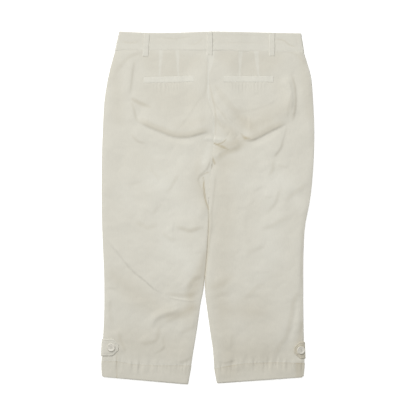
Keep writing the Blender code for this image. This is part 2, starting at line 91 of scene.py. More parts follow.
FOOT_TURN, TOP_TURN = 0.5625, 0.77          # and its foot and top edge turn down this far
BAND_LAP = 0.5              # the waistband comes this much lower than its solid, to close the seam
OVERLAP_LIFT = 2.85         # the waistband rises this much over its hook

# ------------------------------------------------------------------ outline
# Sections across each leg and its half of the seat, from the waist seam to the hem.
Section = namedtuple("Section", "outer_x outer_y inner_x inner_y inner_roll")
SECTIONS = {
    "left": (
        Section(-201.4, 342.6, 2.4, 342.6, 0.0),
        Section(-208.0, 320.0, 2.4, 320.0, 0.0),
        Section(-217.4, 282.0, 2.2, 282.0, 0.0),
        Section(-225.2, 232.0, 3.4, 236.0, 0.0),
        Section(-228.4, 180.0, 12.4, 186.0, 0.0),
        Section(-230.4, 128.0, 12.1, 134.0, 0.0),
        Section(-231.3, 76.0, 7.1, 82.0, 0.0),
        Section(-231.3, 20.0, 2.1, 24.0, 0.0),
        Section(-230.4, -38.0, 1.7, -36.0, 0.8),
        Section(-228.2, -92.0, -1.8, -96.0, 1.0),
        Section(-226.0, -146.0, -6.9, -152.0, 1.0),
        Section(-225.6, -180.0, -11.2, -185.0, 1.0),
        Section(-225.4, -204.0, -16.4, -210.0, 1.0),
        Section(-226.6, -252.0, -23.4, -260.0, 1.0),
        Section(-229.6, -300.0, -31.6, -310.0, 1.0),
        Section(-231.5, -334.0, -36.6, -342.6, 1.0),
        Section(-230.6, -366.6, -43.6, -382.2, 1.0),
    ),
    "right": (
        Section(208.6, 337.8, 2.8, 342.6, 0.0),
        Section(214.6, 320.0, 2.8, 320.0, 0.0),
        Section(224.8, 282.0, 2.6, 282.0, 0.0),
        Section(229.0, 232.0, 3.8, 236.0, 0.0),
        Section(231.4, 180.0, 12.8, 186.0, 0.0),
        Section(231.2, 128.0, 12.5, 134.0, 0.0),
        Section(228.5, 76.0, 7.5, 82.0, 0.0),
        Section(222.8, 20.0, 2.5, 24.0, 0.0),
        Section(211.9, -38.0, 2.1, -36.0, 0.8),
        Section(208.4, -92.0, -1.4, -96.0, 1.0),
        Section(207.7, -146.0, -6.4, -152.0, 1.0),
        Section(207.7, -180.0, -5.8, -185.0, 1.0),
        Section(207.7, -204.0, -3.0, -210.0, 1.0),
        Section(208.2, -252.0, 4.0, -260.0, 1.0),
        Section(209.2, -300.0, 11.2, -310.0, 1.0),
        Section(210.2, -338.0, 14.0, -345.6, 1.0),
        Section(207.7, -367.4, 20.2, -379.8, 1.0),
    ),
}
OUTWARD = {"left": -1.0, "right": 1.0}      # which way along X a leg's outer edge lies
SEAM_CLOSE = 0.22           # the backs meet this much closer at their seam than the solids do
LEG_CLOSE = 0.45            # and the legs, where they lie against each other
LEGS_PART_Y = -184.0        # which they do down to here
LEGS_SHADE, LEGS_SHADE_REACH = 0.5, 2.8     # how dark it is between them, and how far out from there
HEM_CORNER = 5.0            # the hem's outer corners are rounded off over this height
CORNER_IN = 0.6             # and come in by this share of it
HEM_DEPTH = 36.0            # from the hem's edge up to the sections' next row
LEG_WIDTH, LEG_LENGTH = 228.0, 728.0    # size that the legs' grids are spaced on

Band = namedtuple("Band", "top_x top_y bottom_x bottom_y")
BAND_ROWS = (
    Band(-192.0, 382.4, -201.2, 343.0),
    Band(-134.0, 379.6, -138.0, 343.0),
    Band(-66.0, 379.8, -67.0, 343.0),
    Band(2.6, 382.0, 2.6, 343.0),
    Band(70.0, 381.3, 71.0, 341.4),
    Band(140.0, 379.7, 143.0, 339.8),
    Band(201.8, 378.4, 208.4, 338.2),
)
CENTRE_FRONT = 3.0          # row of the table where the right front's end laps over the left
UNDERLAP_END = 3.5          # and where the left front's hidden end is
FRONT_DROP = 1.0            # the fronts' top edge is this much lower than the back's
FRONT_END = 2.6             # the fronts' ends stay this far inside the back's
UNDERLAP_LIFT = 2.8         # the left front's end rises this much over the right's
LAP_X, LAP_SLOPE = -34.0, 30.0              # from here, over this width
BAND_ROW_GAP = 67.0         # the rows are about this far apart
BAND_WIDTH, BAND_HEIGHT = 406.0, 39.0       # size that its grids and rolled edges are spaced on
BAND_ROUND = 1.8            # radius of the waistband's rolled edges
BAND_TOP_ROUND = 2.0        # and of its folded top
BAND_FOOT_Y = 342.0         # height of its foot, taken as level
TURNINGS_Y = 357.0          # up to here it holds the waist seam's turnings, and looks whiter

# ------------------------------------------------------------------ creases
# A crease rises (or sinks, if rise is negative) along its points and fades over the reach on
# the left and right of the way along them. crisp is 0 for a soft roll and 1 for a pressed line.
# where a crease on a back or the waistband sinks, shade is painted into the twill along it
Crease = namedtuple("Crease", "rise left right crisp points")
Swell = namedtuple("Swell", "rise x y reach_x reach_y")
CREASES = {
    "left": (
        Crease(1.2, 10, 40, 0.0, ((-160, 174), (-120, 156), (-95, 146), (-70, 138), (-40, 138), (-8, 146))),
        Crease(0.6, 16, 14, 0.1, ((-166, 330), (-173, 282), (-176, 240))),
        Crease(2.4, 46, 2.5, 0.8, ((-229, -55), (-206, -84), (-183, -113), (-162, -137),
                                   (-140, -155), (-113, -178), (-88, -190))),
        Crease(0.7, 4, 4, 0.5, ((-94, -192), (-42, -202), (-20, -198))),
        Crease(-0.7, 2.2, 2.2, 0.8, ((-198, -306), (-198.5, -340), (-198, -384))),
        Crease(2.2, 11, 17, 0.3, ((-54, -210), (-73, -223), (-102, -232), (-115, -242), (-130, -268))),
        Crease(2.0, 30, 42, 0.0, ((-58, 132), (-50, 80), (-44, 40), (-26, -14))),
        Crease(1.2, 6, 7, 0.1, ((-7, 152), (2, 151), (12, 150))),
    ),
    "right": (
        Crease(2.0, 7, 20, 0.2, ((172, 292), (180, 254), (181, 230), (176, 200))),
        Crease(1.2, 36, 12, 0.0, ((172, 168), (134, 146), (100, 128), (82, 126))),
        Crease(1.4, 6, 7, 0.1, ((10, 150), (22, 149), (32, 146))),
        Crease(-0.8, 3.5, 3.5, 0.5, ((15, 192), (30, 185), (41, 173), (49, 165))),
        Crease(-0.9, 5, 4, 0.4, ((27, 213), (46, 194), (62, 182), (74, 170))),
        Crease(-0.7, 4.5, 4.5, 0.3, ((51, 172), (43, 157), (36, 145))),
        Crease(-0.7, 6, 6, 0.3, ((69, 164), (55, 142))),
        Crease(0.8, 14, 10, 0.2, ((204, -190), (197, -235), (191, -265), (178, -302))),
        Crease(-0.6, 1.6, 1.6, 0.8, ((0, -196), (2, -222), (9, -262), (16, -312), (19, -342))),
    ),
}
# Where the cloth on the left of the way along the points lies higher: it drops over width,
# and the height dies away over back. turn is -1 where the drop ends sharply, 1 where it starts so.
# shade is also painted into the twill down each fold's drop
Fall = namedtuple("Fall", "drop width back turn points")
FOLD_END = 30.0             # the longest run over which a fold dies out at its ends
FOLD_END_SHARE = 0.32       # and the most of its length that this takes up
FOLD_BACK_SHARE = 0.8       # its height dies away behind it within this share of its length
DARKEST_DROP = 1.8          # a fold that drops further than this gets no darker painted shade
FALLS = {
    "left": (
        Fall(2.3, 18, 60, -1.0, ((-158, 199), (-123, 181), (-97, 171), (-72, 162), (-40, 162),
                                 (-3, 171), (9, 160))),
        Fall(1, 4.5, 24, -0.7, ((-160, 192), (-123, 175), (-97, 165), (-72, 156), (-40, 156),
                                (-3, 165), (10, 154))),
        Fall(0.6, 2.5, 30, 0.0, ((-78, 155), (-40, 203), (-8, 254))),
        Fall(1, 12, 56, 0.0, ((-206, 286), (-177, 323), (-138, 343))),
        Fall(1.5, 6, 30, 0.0, ((-151, 180), (-158, 200), (-162, 218), (-171, 236))),
        Fall(1.2, 6, 30, 0.0, ((-172, 238), (-167, 266), (-163, 300), (-157, 330))),
        Fall(1, 8, 30, -0.4, ((-171, 243), (-150, 231), (-124, 221))),
        Fall(1.3, 4, 30, -0.5, ((2, -20), (-4, 3), (-13, 36), (-22, 59), (-15, 73), (0, 89), (8, 122))),
        Fall(0.9, 7, 44, -0.3, ((-18, 230), (-6, 252), (-3, 281), (-3, 343))),
        Fall(1.3, 7, 41, 0.0, ((-172, 166), (-156, 148), (-148, 143), (-130, 139))),
        Fall(0.94, 12.5, 50, 0.0, ((-100, 54), (-113, 71), (-132, 93))),
        Fall(1.01, 11.2, 47, 0.0, ((-100, 29), (-83, 41), (-72, 59), (-58, 82))),
        Fall(0.62, 10, 44, 0.0, ((-181, 50), (-157, 54), (-136, 60))),
        Fall(0.86, 10, 44, 0.0, ((-122, -20), (-110, 1), (-92, 11))),
        Fall(1.09, 13.8, 53, -0.4, ((-167, -27), (-142, -37), (-128, -42), (-100, -30))),
        Fall(1.8, 12, 56, -0.4, ((-79, -40), (-57, -44), (-38, -49), (-20, -44), (-1, -46))),
        Fall(1.01, 11.2, 47, -0.4, ((-104, -46), (-82, -67), (-63, -63))),
        Fall(0.55, 7.5, 38, 0.0, ((-34, -98), (-12, -98))),
        Fall(1.09, 11.2, 47, -0.4, ((-100, -187), (-85, -187), (-49, -189), (-16, -182))),
        Fall(0.62, 6.2, 35, -0.4, ((-104, -190), (-81, -207))),
        Fall(0.62, 6.2, 35, 0.0, ((-98, -219), (-77, -215), (-56, -206))),
        Fall(1.3, 12, 56, -0.4, ((-50, -184), (-32, -157), (-8, -146))),
        Fall(0.86, 12.5, 41, 0.0, ((-104, -250), (-80, -244), (-60, -231), (-38, -216))),
        Fall(1.17, 11.2, 47, -0.4, ((-160, -289), (-140, -293), (-118, -290), (-110, -278), (-104, -244))),
        Fall(1, 7, 41, 0.0, ((-124, -319), (-102, -310), (-95, -300), (-97, -285), (-89, -269))),
        Fall(1.01, 11.2, 47, -0.4, ((-67, -268), (-49, -267), (-20, -250))),
        Fall(1.1, 8, 44, -0.4, ((-69, -333), (-52, -333), (-31, -321))),
        Fall(0.62, 7.5, 38, -0.4, ((-227, -175), (-211, -174), (-191, -176))),
        Fall(0.86, 10, 44, -0.4, ((-200, -263), (-208, -252), (-214, -224), (-210, -190))),
        Fall(1.3, 10, 50, -0.4, ((-179, -322), (-183, -303), (-190, -288), (-197, -261))),
    ),
    "right": (
        Fall(1.1, 8, 44, 0.0, ((153, 342), (187, 336), (204, 321), (220, 300))),
        Fall(2, 6, 44, -0.7, ((181, 180), (187, 206), (190, 231), (188, 262), (178, 300))),
        Fall(0.9, 5, 35, -0.4, ((171, 186), (176, 223), (183, 256))),
        Fall(0.7, 4, 32, 0.0, ((183, 262), (166, 284))),
        Fall(2.6, 17, 56, -1.0, ((70, 158), (88, 154), (104, 158), (133, 173), (176, 193))),
        Fall(1, 4.5, 24, -0.7, ((66, 150), (86, 146), (104, 151), (133, 166), (176, 187))),
        Fall(2, 16, 30, 1.0, ((12, 95), (36, 117), (64, 127), (84, 143))),
        Fall(0.8, 4, 32, 0.0, ((157, 132), (168, 161), (172, 187))),
        Fall(0.6, 3, 29, 0.0, ((23, 270), (49, 240), (73, 216), (89, 211), (133, 225), (160, 246))),
        Fall(0.4, 3, 29, 0.0, ((3, 264), (23, 238), (48, 208), (95, 208))),
        Fall(1.3, 6, 30, -0.2, ((4, 256), (12, 232), (31, 205), (53, 173))),
        Fall(1, 6, 26, -0.2, ((12, 214), (22, 190), (33, 168))),
        Fall(0.9, 5, 32, 0.0, ((1, -117), (5, -69), (9, -35), (8, -11), (11, 14), (15, 47), (19, 86))),
        Fall(1.4, 7, 41, 0.0, ((139, 106), (156, 126), (165, 149))),
        Fall(1.25, 10, 44, -0.4, ((127, 65), (141, 86), (138, 109))),
        Fall(0.86, 7.5, 30, -0.4, ((147, 95), (160, 91), (178, 88))),
        Fall(0.62, 7.5, 38, 0.0, ((138, 87), (129, 108), (121, 125))),
        Fall(0.94, 10, 44, 0.0, ((122, -23), (134, -4), (147, 11), (156, 38), (167, 49))),
        Fall(1.01, 12.5, 50, -0.4, ((161, 2), (179, 26), (199, 41), (225, 61))),
        Fall(0.7, 6.2, 26, 0.0, ((118, 26), (130, 22), (144, 25))),
        Fall(0.62, 7.5, 38, 0.0, ((93, 26), (106, 39), (123, 48))),
        Fall(0.47, 5, 32, 0.0, ((86, 3), (102, 17))),
        Fall(0.31, 3.8, 29, 0.0, ((24, 6), (66, 0), (102, 3))),
        Fall(0.47, 8.8, 41, 0.0, ((81, -56), (83, -13))),
        Fall(1.01, 12.5, 50, -0.4, ((105, -43), (133, -41), (154, -29), (186, -14))),
        Fall(0.7, 11.2, 47, 0.0, ((82, -117), (89, -99), (108, -89), (132, -82))),
        Fall(0.62, 11.2, 47, 0.0, ((45, -117), (70, -86))),
        Fall(0.94, 6.2, 35, -0.4, ((202, -180), (203, -110), (207, -34))),
        Fall(1.2, 14, 56, -0.4, ((135, -325), (147, -315), (156, -298), (168, -282), (174, -265),
                                  (181, -235), (184, -210), (191, -193), (208, -173))),
        Fall(0.7, 12, 41, -0.4, ((0, -178), (18, -170), (52, -160))),
        Fall(0.6, 12, 34, -0.2, ((2, -197), (22, -189), (62, -184))),
        Fall(0.31, 3.8, 29, 0.0, ((94, -140), (145, -141))),
        Fall(0.94, 13.8, 53, -0.4, ((61, -205), (89, -190), (109, -170), (137, -166))),
        Fall(0.8, 8, 44, 0.0, ((50, -314), (53, -266))),
        Fall(0.8, 4, 32, 0.0, ((29, -339), (46, -335), (62, -331))),
        Fall(0.86, 7.5, 38, -0.4, ((198, -277), (207, -238))),
    ),
}
# Gentle unevenness of a back, as its random seed, its waves' size and its height
BACK_RUMPLES = ((11, 62.0, 0.28), (12, 21.0, 0.075))
SHARP_RUMPLE = (13, 34.0, 1.0)
SWELLS = {
    "left": (
        Swell(1.6, -108, 36, 40, 22),
        Swell(1.2, -60, -110, 55, 50),
        Swell(1.0, -80, 235, 60, 34),
        Swell(-0.9, -188, 90, 14, 60),
        Swell(1.0, -150, -215, 45, 30),
    ),
    "right": (
        Swell(-1.4, 10, 96, 8, 14),
        Swell(-0.9, 49, 12, 13, 24),
        Swell(1.2, 110, 235, 50, 30),
        Swell(1.0, 60, 80, 28, 40),
        Swell(1.0, 120, -90, 50, 60),
        Swell(1.0, 100, -265, 40, 50),
    ),
}
HEM_RIB, HEM_RIB_PITCH = 0.2, 7.2           # height and spacing of the fine ribs in the turned-up hem
HEM_RIBS_BELOW = 16.0
HEM_RUMPLED_BELOW, HEM_RUMPLED_ABOVE = 30.0, 14.0
# Short puckers across the hem's stitching: where, and how deep
HEM_PUCKERS = {
    "left": ((-187, 0.6), (-163, 0.8), (-147, 1.2), (-128, 0.7), (-106, 0.6), (-82, 0.7), (-65, 0.6),
             (-58, 0.6)),
    "right": ((31, 0.6), (55, 1.2), (85, 1.2), (106, 0.6), (122, 0.7), (133, 0.6), (150, 0.6), (176, 0.5)),
}
# The fronts lie on the floor, so their creases only lift off it a little.
FRONT_LIFT = 0.95
FRONT_CREASES = {
    "left": (
        Crease(0.9, 12, 6, 0.4, ((-180, 160), (-120, 138), (-70, 128), (-20, 140))),
        Crease(0.7, 8, 8, 0.3, ((-150, 60), (-110, 30), (-95, -5))),
        Crease(0.8, 10, 5, 0.5, ((-215, -70), (-150, -120), (-70, -150))),
        Crease(0.6, 6, 6, 0.3, ((-90, -60), (-60, -70), (-25, -62))),
        Crease(0.8, 7, 9, 0.3, ((-120, -225), (-100, -255), (-70, -262))),
        Crease(0.6, 5, 5, 0.4, ((-200, -240), (-190, -290), (-180, -320))),
    ),
    "right": (
        Crease(0.9, 6, 12, 0.4, ((190, 150), (140, 130), (90, 124), (35, 138))),
        Crease(0.7, 8, 8, 0.3, ((170, 70), (145, 30), (120, 0))),
        Crease(0.8, 6, 9, 0.4, ((195, -90), (140, -130), (70, -140))),
        Crease(0.6, 6, 6, 0.3, ((40, -40), (70, -62), (110, -58))),
        Crease(0.8, 8, 6, 0.4, ((185, -205), (170, -250), (150, -300))),
        Crease(0.5, 5, 5, 0.4, ((25, -190), (60, -200), (90, -192))),
    ),
}
BAND_CREASES = (
    Crease(-0.9, 5, 4, 0.4, ((143, 366), (164, 364), (177, 354), (198, 348))),
    Crease(-0.3, 2.5, 2.5, 0.8, ((8, 374), (70, 374.5), (136, 373))),
    Crease(-0.35, 3, 2, 0.8, ((20, 358), (75, 358.5), (130, 357))),
    Crease(-0.4, 2.5, 2.5, 0.6, ((9, 357), (19, 368))),
    Crease(-0.5, 7, 5, 0.2, ((-190, 362), (-168, 358), (-146, 362))),
    Crease(-0.4, 6, 5, 0.2, ((-118, 372), (-80, 368), (-30, 372))),
    Crease(-0.35, 5, 5, 0.2, ((-40, 352), (-20, 360), (-10, 372))),
    Crease(-0.3, 2.2, 2.2, 0.7, ((190, 376), (196, 345))),
)

# Each strip paints the cloth whiter where its amount is above 0 and darker where it is below 0:
# some stand for two layers of cloth at darts and seams, some for single cloth with nothing close
# behind it, and the rest are painted light and painted shade of broad swells, folds, hollows and
# the shaded hem corners. Each strip runs along its points of x, y and half its width there.
Strip = namedtuple("Strip", "amount edge points")
STRIPS = {
    "left": (
        Strip(0.75, 1.4, ((-101.6, 343, 4.2), (-103.4, 316, 2.6), (-105.2, 286, 1.0))),
        Strip(0.75, 1.4, ((-66.5, 343, 4.0), (-65.5, 316, 2.4), (-64.6, 286, 1.0))),
        Strip(0.6, 1.6, ((0, 343, 4.0), (0, 325, 3.4), (1, 295, 1.9), (0, 262, 2.1), (2, 239, 2.1),
                         (6, 228, 2.0), (10.5, 214, 2.4), (12.4, 196, 2.2), (12.2, 165, 1.8))),
        Strip(0.4, 1.6, ((0, 300, 1.9), (0, 262, 2.1), (2, 239, 2.1), (6, 228, 2.0), (10.5, 214, 2.4),
                         (12.4, 196, 2.0), (12.2, 165, 1.6))),
        Strip(-0.8, 8, ((-164, 236, 2), (-148, 227, 4), (-126, 219, 1))),
        Strip(-0.45, 30, ((-40, -196, 8), (-34, -225, 10), (-40, -250, 6))),
        Strip(-0.35, 28, ((-140, 334, 12), (-110, 315, 26), (-60, 312, 26), (-24, 320, 10))),
        Strip(-0.3, 60, ((-120, 250, 26), (-70, 240, 46), (-34, 235, 26))),
        Strip(0.45, 40, ((-122, 62, 14), (-96, 50, 16), (-72, 44, 12))),
        Strip(0.35, 36, ((-67, 2, 12), (-36, -6, 12))),
        Strip(0.25, 50, ((-110, 115, 18), (-40, 112, 18))),
        Strip(0.5, 40, ((-86, -80, 12), (-52, -105, 16), (-40, -132, 10))),
        Strip(-0.5, 26, ((-24, 100, 6), (-20, 50, 8), (-6, 0, 5))),
        Strip(-0.9, 20, ((-6, -100, 2), (-15, -130, 8), (-26, -162, 12), (-36, -188, 11))),
        Strip(-0.5, 40, ((-204, -146, 10), (-150, -195, 20), (-100, -225, 16))),
        Strip(-0.9, 22, ((-84, -234, 7), (-58, -230, 10), (-34, -216, 8))),
        Strip(-0.5, 60, ((-190, -290, 30), (-60, -310, 30))),
        Strip(0.35, 40, ((-190, 40, 8), (-166, 12, 16), (-150, -12, 8))),
        Strip(-0.3, 30, ((-206, 334, 6), (-200, 250, 12), (-196, 190, 10))),
        Strip(-1.9, 2.4, ((-9.5, 66, 0.8), (-8.6, 40, 1.5), (-5, 17, 1.4), (2, -6, 1.0), (4, -24, 0.3))),
        Strip(-1.4, 2.4, ((-15, 70, 0.4), (-8, 74, 1.0), (2, 78, 1.0))),
        Strip(0.6, 7, ((-6, 151, 2), (12, 150, 4))),
        Strip(0.55, 12, ((3, 138, 2), (-3, 118, 5), (-9, 98, 4))),
        Strip(-0.35, 22, ((-66, 178, 6), (-34, 182, 12), (-10, 192, 6))),
        Strip(-1.3, 2.4, ((-197, -316, 0.6), (-198.3, -340, 0.9), (-198, -372, 1.1))),
        Strip(0.35, 70, ((-100, 60, 30), (-90, -40, 40), (-70, -120, 30))),
    ),
    "right": (
        Strip(0.75, 1.4, ((71.4, 343, 4.6), (69.9, 316, 3.0), (68.5, 286, 1.2))),
        Strip(0.75, 1.4, ((105, 341, 4.8), (107.6, 314, 3.0), (110, 286, 1.2))),
        Strip(0.6, 1.6, ((9, 343, 5.5), (8, 325, 5.0), (4, 297, 1.4))),
        Strip(-0.8, 3, ((3, 270, 0.5), (8, 248, 1.5), (15.5, 214, 1.5), (17, 180, 1.5), (16, 160, 0.5))),
        Strip(-0.4, 28, ((34, 330, 14), (70, 315, 26), (120, 312, 26), (150, 325, 12))),
        Strip(-0.3, 4, ((16, 264, 3), (34, 240, 7), (56, 215, 6), (80, 209, 1))),
        Strip(-0.2, 30, ((150, 270, 10), (168, 225, 18), (130, 205, 18))),
        Strip(-0.35, 16, ((64, 200, 4), (84, 184, 9), (102, 168, 6))),
        Strip(-0.3, 14, ((203, 334, 7), (212, 280, 9), (221, 205, 10))),
        Strip(0.6, 7, ((12, 150, 4), (30, 148, 2))),
        Strip(-1.6, 2.4, ((11, 141, 0.6), (21, 138.5, 1.6), (32, 142, 1.2), (40, 149, 0.4))),
        Strip(-1.3, 4, ((14, 139, 1), (28, 134, 2.5), (44, 127, 1))),
        Strip(-0.62, 15, ((18, 122, 3), (40, 132, 8), (60, 138, 8), (82, 149, 3))),
        Strip(-0.5, 5, ((10, 131, 1), (22, 129, 2), (40, 124, 1))),
        Strip(-0.38, 14, ((28, 116, 4), (50, 124, 6), (80, 138, 4))),
        Strip(-0.34, 11, ((20, 132, 3), (40, 138, 7), (62, 142, 6))),
        Strip(-0.5, 6, ((72, 153, 2), (80, 150, 3), (92, 147, 3), (104, 149, 2))),
        Strip(-1.2, 4, ((72, 161, 1), (80, 153, 2.5), (92, 151, 1))),
        Strip(-0.45, 14, ((24, 186, 4), (44, 168, 10), (60, 152, 8))),
        Strip(-1.5, 3.5, ((6, 120, 1.2), (10, 108, 2.2), (15, 96, 1.6))),
        Strip(-1.6, 3, ((7, 98, 1.2), (8, 90, 2.0))),
        Strip(-0.4, 24, ((60, 205, 8), (90, 180, 14), (130, 186, 10))),
        Strip(-0.3, 40, ((18, 100, 8), (62, 100, 10))),
        Strip(-0.45, 44, ((34, 90, 16), (34, 0, 26), (32, -100, 22), (28, -180, 16))),
        Strip(-0.3, 60, ((60, 170, 18), (120, 195, 24), (176, 215, 14))),
        Strip(-0.5, 22, ((8, -170, 6), (30, -163, 8), (50, -150, 4))),
        Strip(-0.35, 50, ((110, -210, 30), (110, -300, 40))),
        Strip(-0.55, 50, ((24, -200, 12), (32, -250, 18), (40, -310, 22), (44, -350, 20))),
        Strip(-1.0, 18, ((204, -250, 2), (200, -290, 6), (198, -310, 10))),
        Strip(-0.75, 8, ((200, -342, 10), (200.5, -372, 10))),
        Strip(0.4, 50, ((130, 110, 20), (140, 20, 25), (140, -80, 25), (110, -150, 20))),
        Strip(-0.4, 60, ((60, -320, 30), (170, -330, 30))),
        Strip(0.3, 50, ((60, 60, 10), (110, 50, 14), (190, 70, 12))),
        Strip(0.5, 44, ((160, 62, 8), (184, 36, 16), (200, 8, 8))),
        Strip(-0.5, 40, ((40, -218, 12), (78, -224, 18), (110, -226, 6))),
        Strip(0.3, 50, ((120, -60, 14), (160, -110, 14))),
    ),
}

# ------------------------------------------------------------------ trimmings
Loop = namedtuple("Loop", "name top_x top_y bottom_x bottom_y")
BACK_LOOPS = (
    Loop("belt_loop_back_left", -132.6, 378.4, -136.2, 329.6),
    Loop("belt_loop_back_centre", 4.2, 381.6, 4.2, 333.0),
    Loop("belt_loop_back_right", 139.4, 379.4, 139.4, 330.8),
)
FRONT_LOOPS = (
    Loop("belt_loop_front_left", -96.0, 377.0, -98.0, 343.6),
    Loop("belt_loop_front_right", 104.0, 378.0, 106.0, 342.0),
)
LOOP_WIDTH = 11.8
LOOP_TURN = 5.0             # length of the loop's turned end, under its bar tack
LOOP_ROUND = 1.0            # radius of its long edges
LOOP_ARCH, LOOP_TACK, LOOP_DIP = 0.35, 0.25, 0.35   # heights of its arch and tacks, depth of its dips
LOOP_DIPS_Y = (TURNINGS_Y, 345.0)
LOOP_ON_BAND_Y = (344.0, 380.0)     # its level over the waistband is read between these heights,
LOOP_ON_SEAT_Y = 340.0              # and over the seat up to this one
LOOP_STEP_Y, LOOP_STEP = 338.0, 8.0     # it goes from one to the other from here, over this length
SEAM_MISS = 2.4             # the centre loop lies on the seat this far beside its sunk seam

Welt = namedtuple("Welt", "outer_x outer_y inner_x inner_y")
WELTS = {
    "left": Welt(-139.4, 277.4, -30.4, 280.6),
    "right": Welt(142.6, 279.6, 34.8, 279.8),
}
WELT_HEIGHT = 12.0
WELT_LIFT = 0.15            # air under a welt
WELT_SINK = 0.85            # the seat is this much lower under a welt
BED_EDGE = 1.2              # and drops to it over this width
WELT_RIB, WELT_RIB_PITCH = 0.44, 7.0        # height and spacing of the puckers round it
WELT_RIBS_BELOW, WELT_RIBS_ABOVE = 38.0, 24.0
WELT_RIBS_SHARE = 0.82      # they cover this share of the welt's length
BAG_WIDTH = 114.0
BAG_TOP = 12.0              # from the welt's middle up to the bag's top
BAG_DEPTH = 70.0            # and down to its foot
BAG_Z = 1.5
BAG_MARGIN = 8.0            # the back lifts over the bag across this width round it
BAG_FOOT_CURVE = 0.9        # how far the bag's round foot narrows

Tab = namedtuple("Tab", "tip_x centre_y button_x button_tilt layers shade")
# the right tab is painted dark with painted shade, as it turns away from the light, and the left one a
# little whiter as two layers of cloth
TABS = {
    "left": Tab(-194.2, -303.4, -210.4, 0.0, 0.1, 0.0),
    "right": Tab(187.6, -309.4, 202.0, 12.0, -0.9, 0.32),
}
TAB_WIDTH = 35.0
TAB_POINT = 13.0            # length of its point
TAB_POINT_CURVE = 1.2       # 1 would be straight, and more bulges
TAB_TIP_WIDTH = 9.0
TAB_WRAP = 7.0              # length of its turn round the leg's edge
TAB_LIFT = 0.25             # air under it
TAB_ROUND = 7.0             # how much wider the right leg's edge rolls under its tab
TAB_ROUND_REACH = 34.0      # within this height of it
TAB_SEAM = 3.2              # its stitching is this far in from its edge
TAB_SEAM_SINK = 0.5
TAB_ROLL = 0.6              # its long edges roll down this far
TAB_END_Z = 0.2             # its end is this far above the garment's lowest level

BUTTON_R = 8.75
BUTTON_THICK = 2.3
BUTTON_DISH_Z = BUTTON_THICK - 0.6
# Half the button's section, as radius and height, from the middle of its dish to that of its underside
BUTTON_SECTION = (
    (0.0, BUTTON_DISH_Z), (4.6, BUTTON_DISH_Z), (5.6, BUTTON_DISH_Z + 0.12), (6.3, BUTTON_THICK - 0.25),
    (6.8, BUTTON_THICK - 0.03), (7.5, BUTTON_THICK), (8.2, BUTTON_THICK - 0.3), (8.6, 1.8), (BUTTON_R, 1.4),
    (8.55, 0.9), (8.0, 0.35), (6.9, 0.05), (5.5, 0.0), (0.0, 0.0),
)
BUTTON_HOLE_R = 0.9
BUTTON_HOLE_OFF = 1.9       # from the button's centre to a hole's
DRILL_LENGTH = 9.0
DRILLED_VERTICES = 600      # a button with its holes has at least this many
THREAD_OFF = 1.34           # from the button's centre to each pair of threads

# The backs rise over what the front holds: within reach of x and from foot_y up, each over its slope.
Rise = namedtuple("Rise", "x reach slope foot_y foot_slope")
FLY_X, HOOK_X = 15.0, 18.0
FLY_RISE = Rise(FLY_X, 66.0, 38.0, 124.0, 34.0)
HOOK_RISE = Rise(HOOK_X, 82.0, 48.0, 296.0, 44.0)
FLY_TOP_Y = 332.0
FLY_LENGTH = 160.0
FLY_SHIELD_WIDTH = 40.0
FLY_SHIELD_Z = 3.95
TOOTH_SIZE = (3.0, 0.8, 0.5)
TOOTH_PITCH = 1.3
TOOTH_ASIDE = 0.7           # the zip's teeth lie this far to the left and right of its middle by turns
TOOTH_DROP = 0.15

# The stage, in metres: a large soft lamp to the upper left, a small one overhead and a long lens
FLOOR_REACH = 14.0
Lamp = namedtuple("Lamp", "name spot width watts")
LAMPS = (
    Lamp("key", (-3.6, 4.4, 4.6), 2.6, 268.0),
    Lamp("overhead", (-0.05, 0.2, 1.4), 0.7, 7.5),
)
SKY_STRENGTH = 0.3
CAMERA_SPOT = (0.0002, -0.0003, 6.0)
CAMERA_REACH = 60.0
CAMERA_SENSOR, CAMERA_LENS = 36.0, 238.7    # in mm

# Spacing of the smaller sheets' meshes
BAND_GRID, BAND_GRID_UP, FRONT_BAND_GRID = 2.2, 1.5, 4.0
LOOP_GRID, TAB_GRID = 1.6, 1.3
WELT_GRID, WELT_GRID_UP = 2.0, 1.2
HIDDEN_GRID, SHIELD_GRID_UP = 5.0, 6.0


def linear(code):
    """An sRGB hex colour in linear light, with alpha."""
    parts = [int(code[i:i + 2], 16) / 255 for i in (0, 2, 4)]
    return [p / 12.92 if p <= 0.04045 else ((p + 0.055) / 1.055) ** 2.4 for p in parts] + [1.0]


def colour_setting(name, code, text):
    return bpy.props.FloatVectorProperty(
        name=name, description=text, subtype="COLOR", size=4, min=0.0, max=1.0, default=linear(code))


def length_setting(name, value, text):
    return bpy.props.FloatProperty(
        name=name, description=text, unit="LENGTH", subtype="DISTANCE", min=0.0, precision=5,
        default=value * MM)


class CapriSizes(bpy.types.PropertyGroup):
    """Sizes that change the finish of the cloth, and not the garment's size."""

    cloth: length_setting("Cloth", 1.1, "Thickness of one layer of twill, with the air in its weave")
    hem: length_setting("Hem", 2.0, "Thickness of the turned-up hem")
    band: length_setting("Waistband", 1.4, "Thickness of the interlined waistband and the tabs")
    loop: length_setting("Belt loop", 1.0, "Thickness of a belt loop")
    lining: length_setting("Pocketing", 0.9, "Thickness of a pocket bag")
    thread: length_setting("Thread", 0.55, "Diameter of the sewing thread")
    stitch: length_setting("Stitch", 3.2, "From the start of one stitch to the next")
    grid: length_setting("Grid", 2.2, "Spacing of the mesh on the backs")
    front_grid: length_setting("Front grid", 4.0, "Spacing of the mesh on the fronts")
    creases: bpy.props.FloatProperty(
        name="Creases", description="Height of the creases, as a share of their full height",
        subtype="FACTOR", min=0.0, max=1.0, default=1.0)


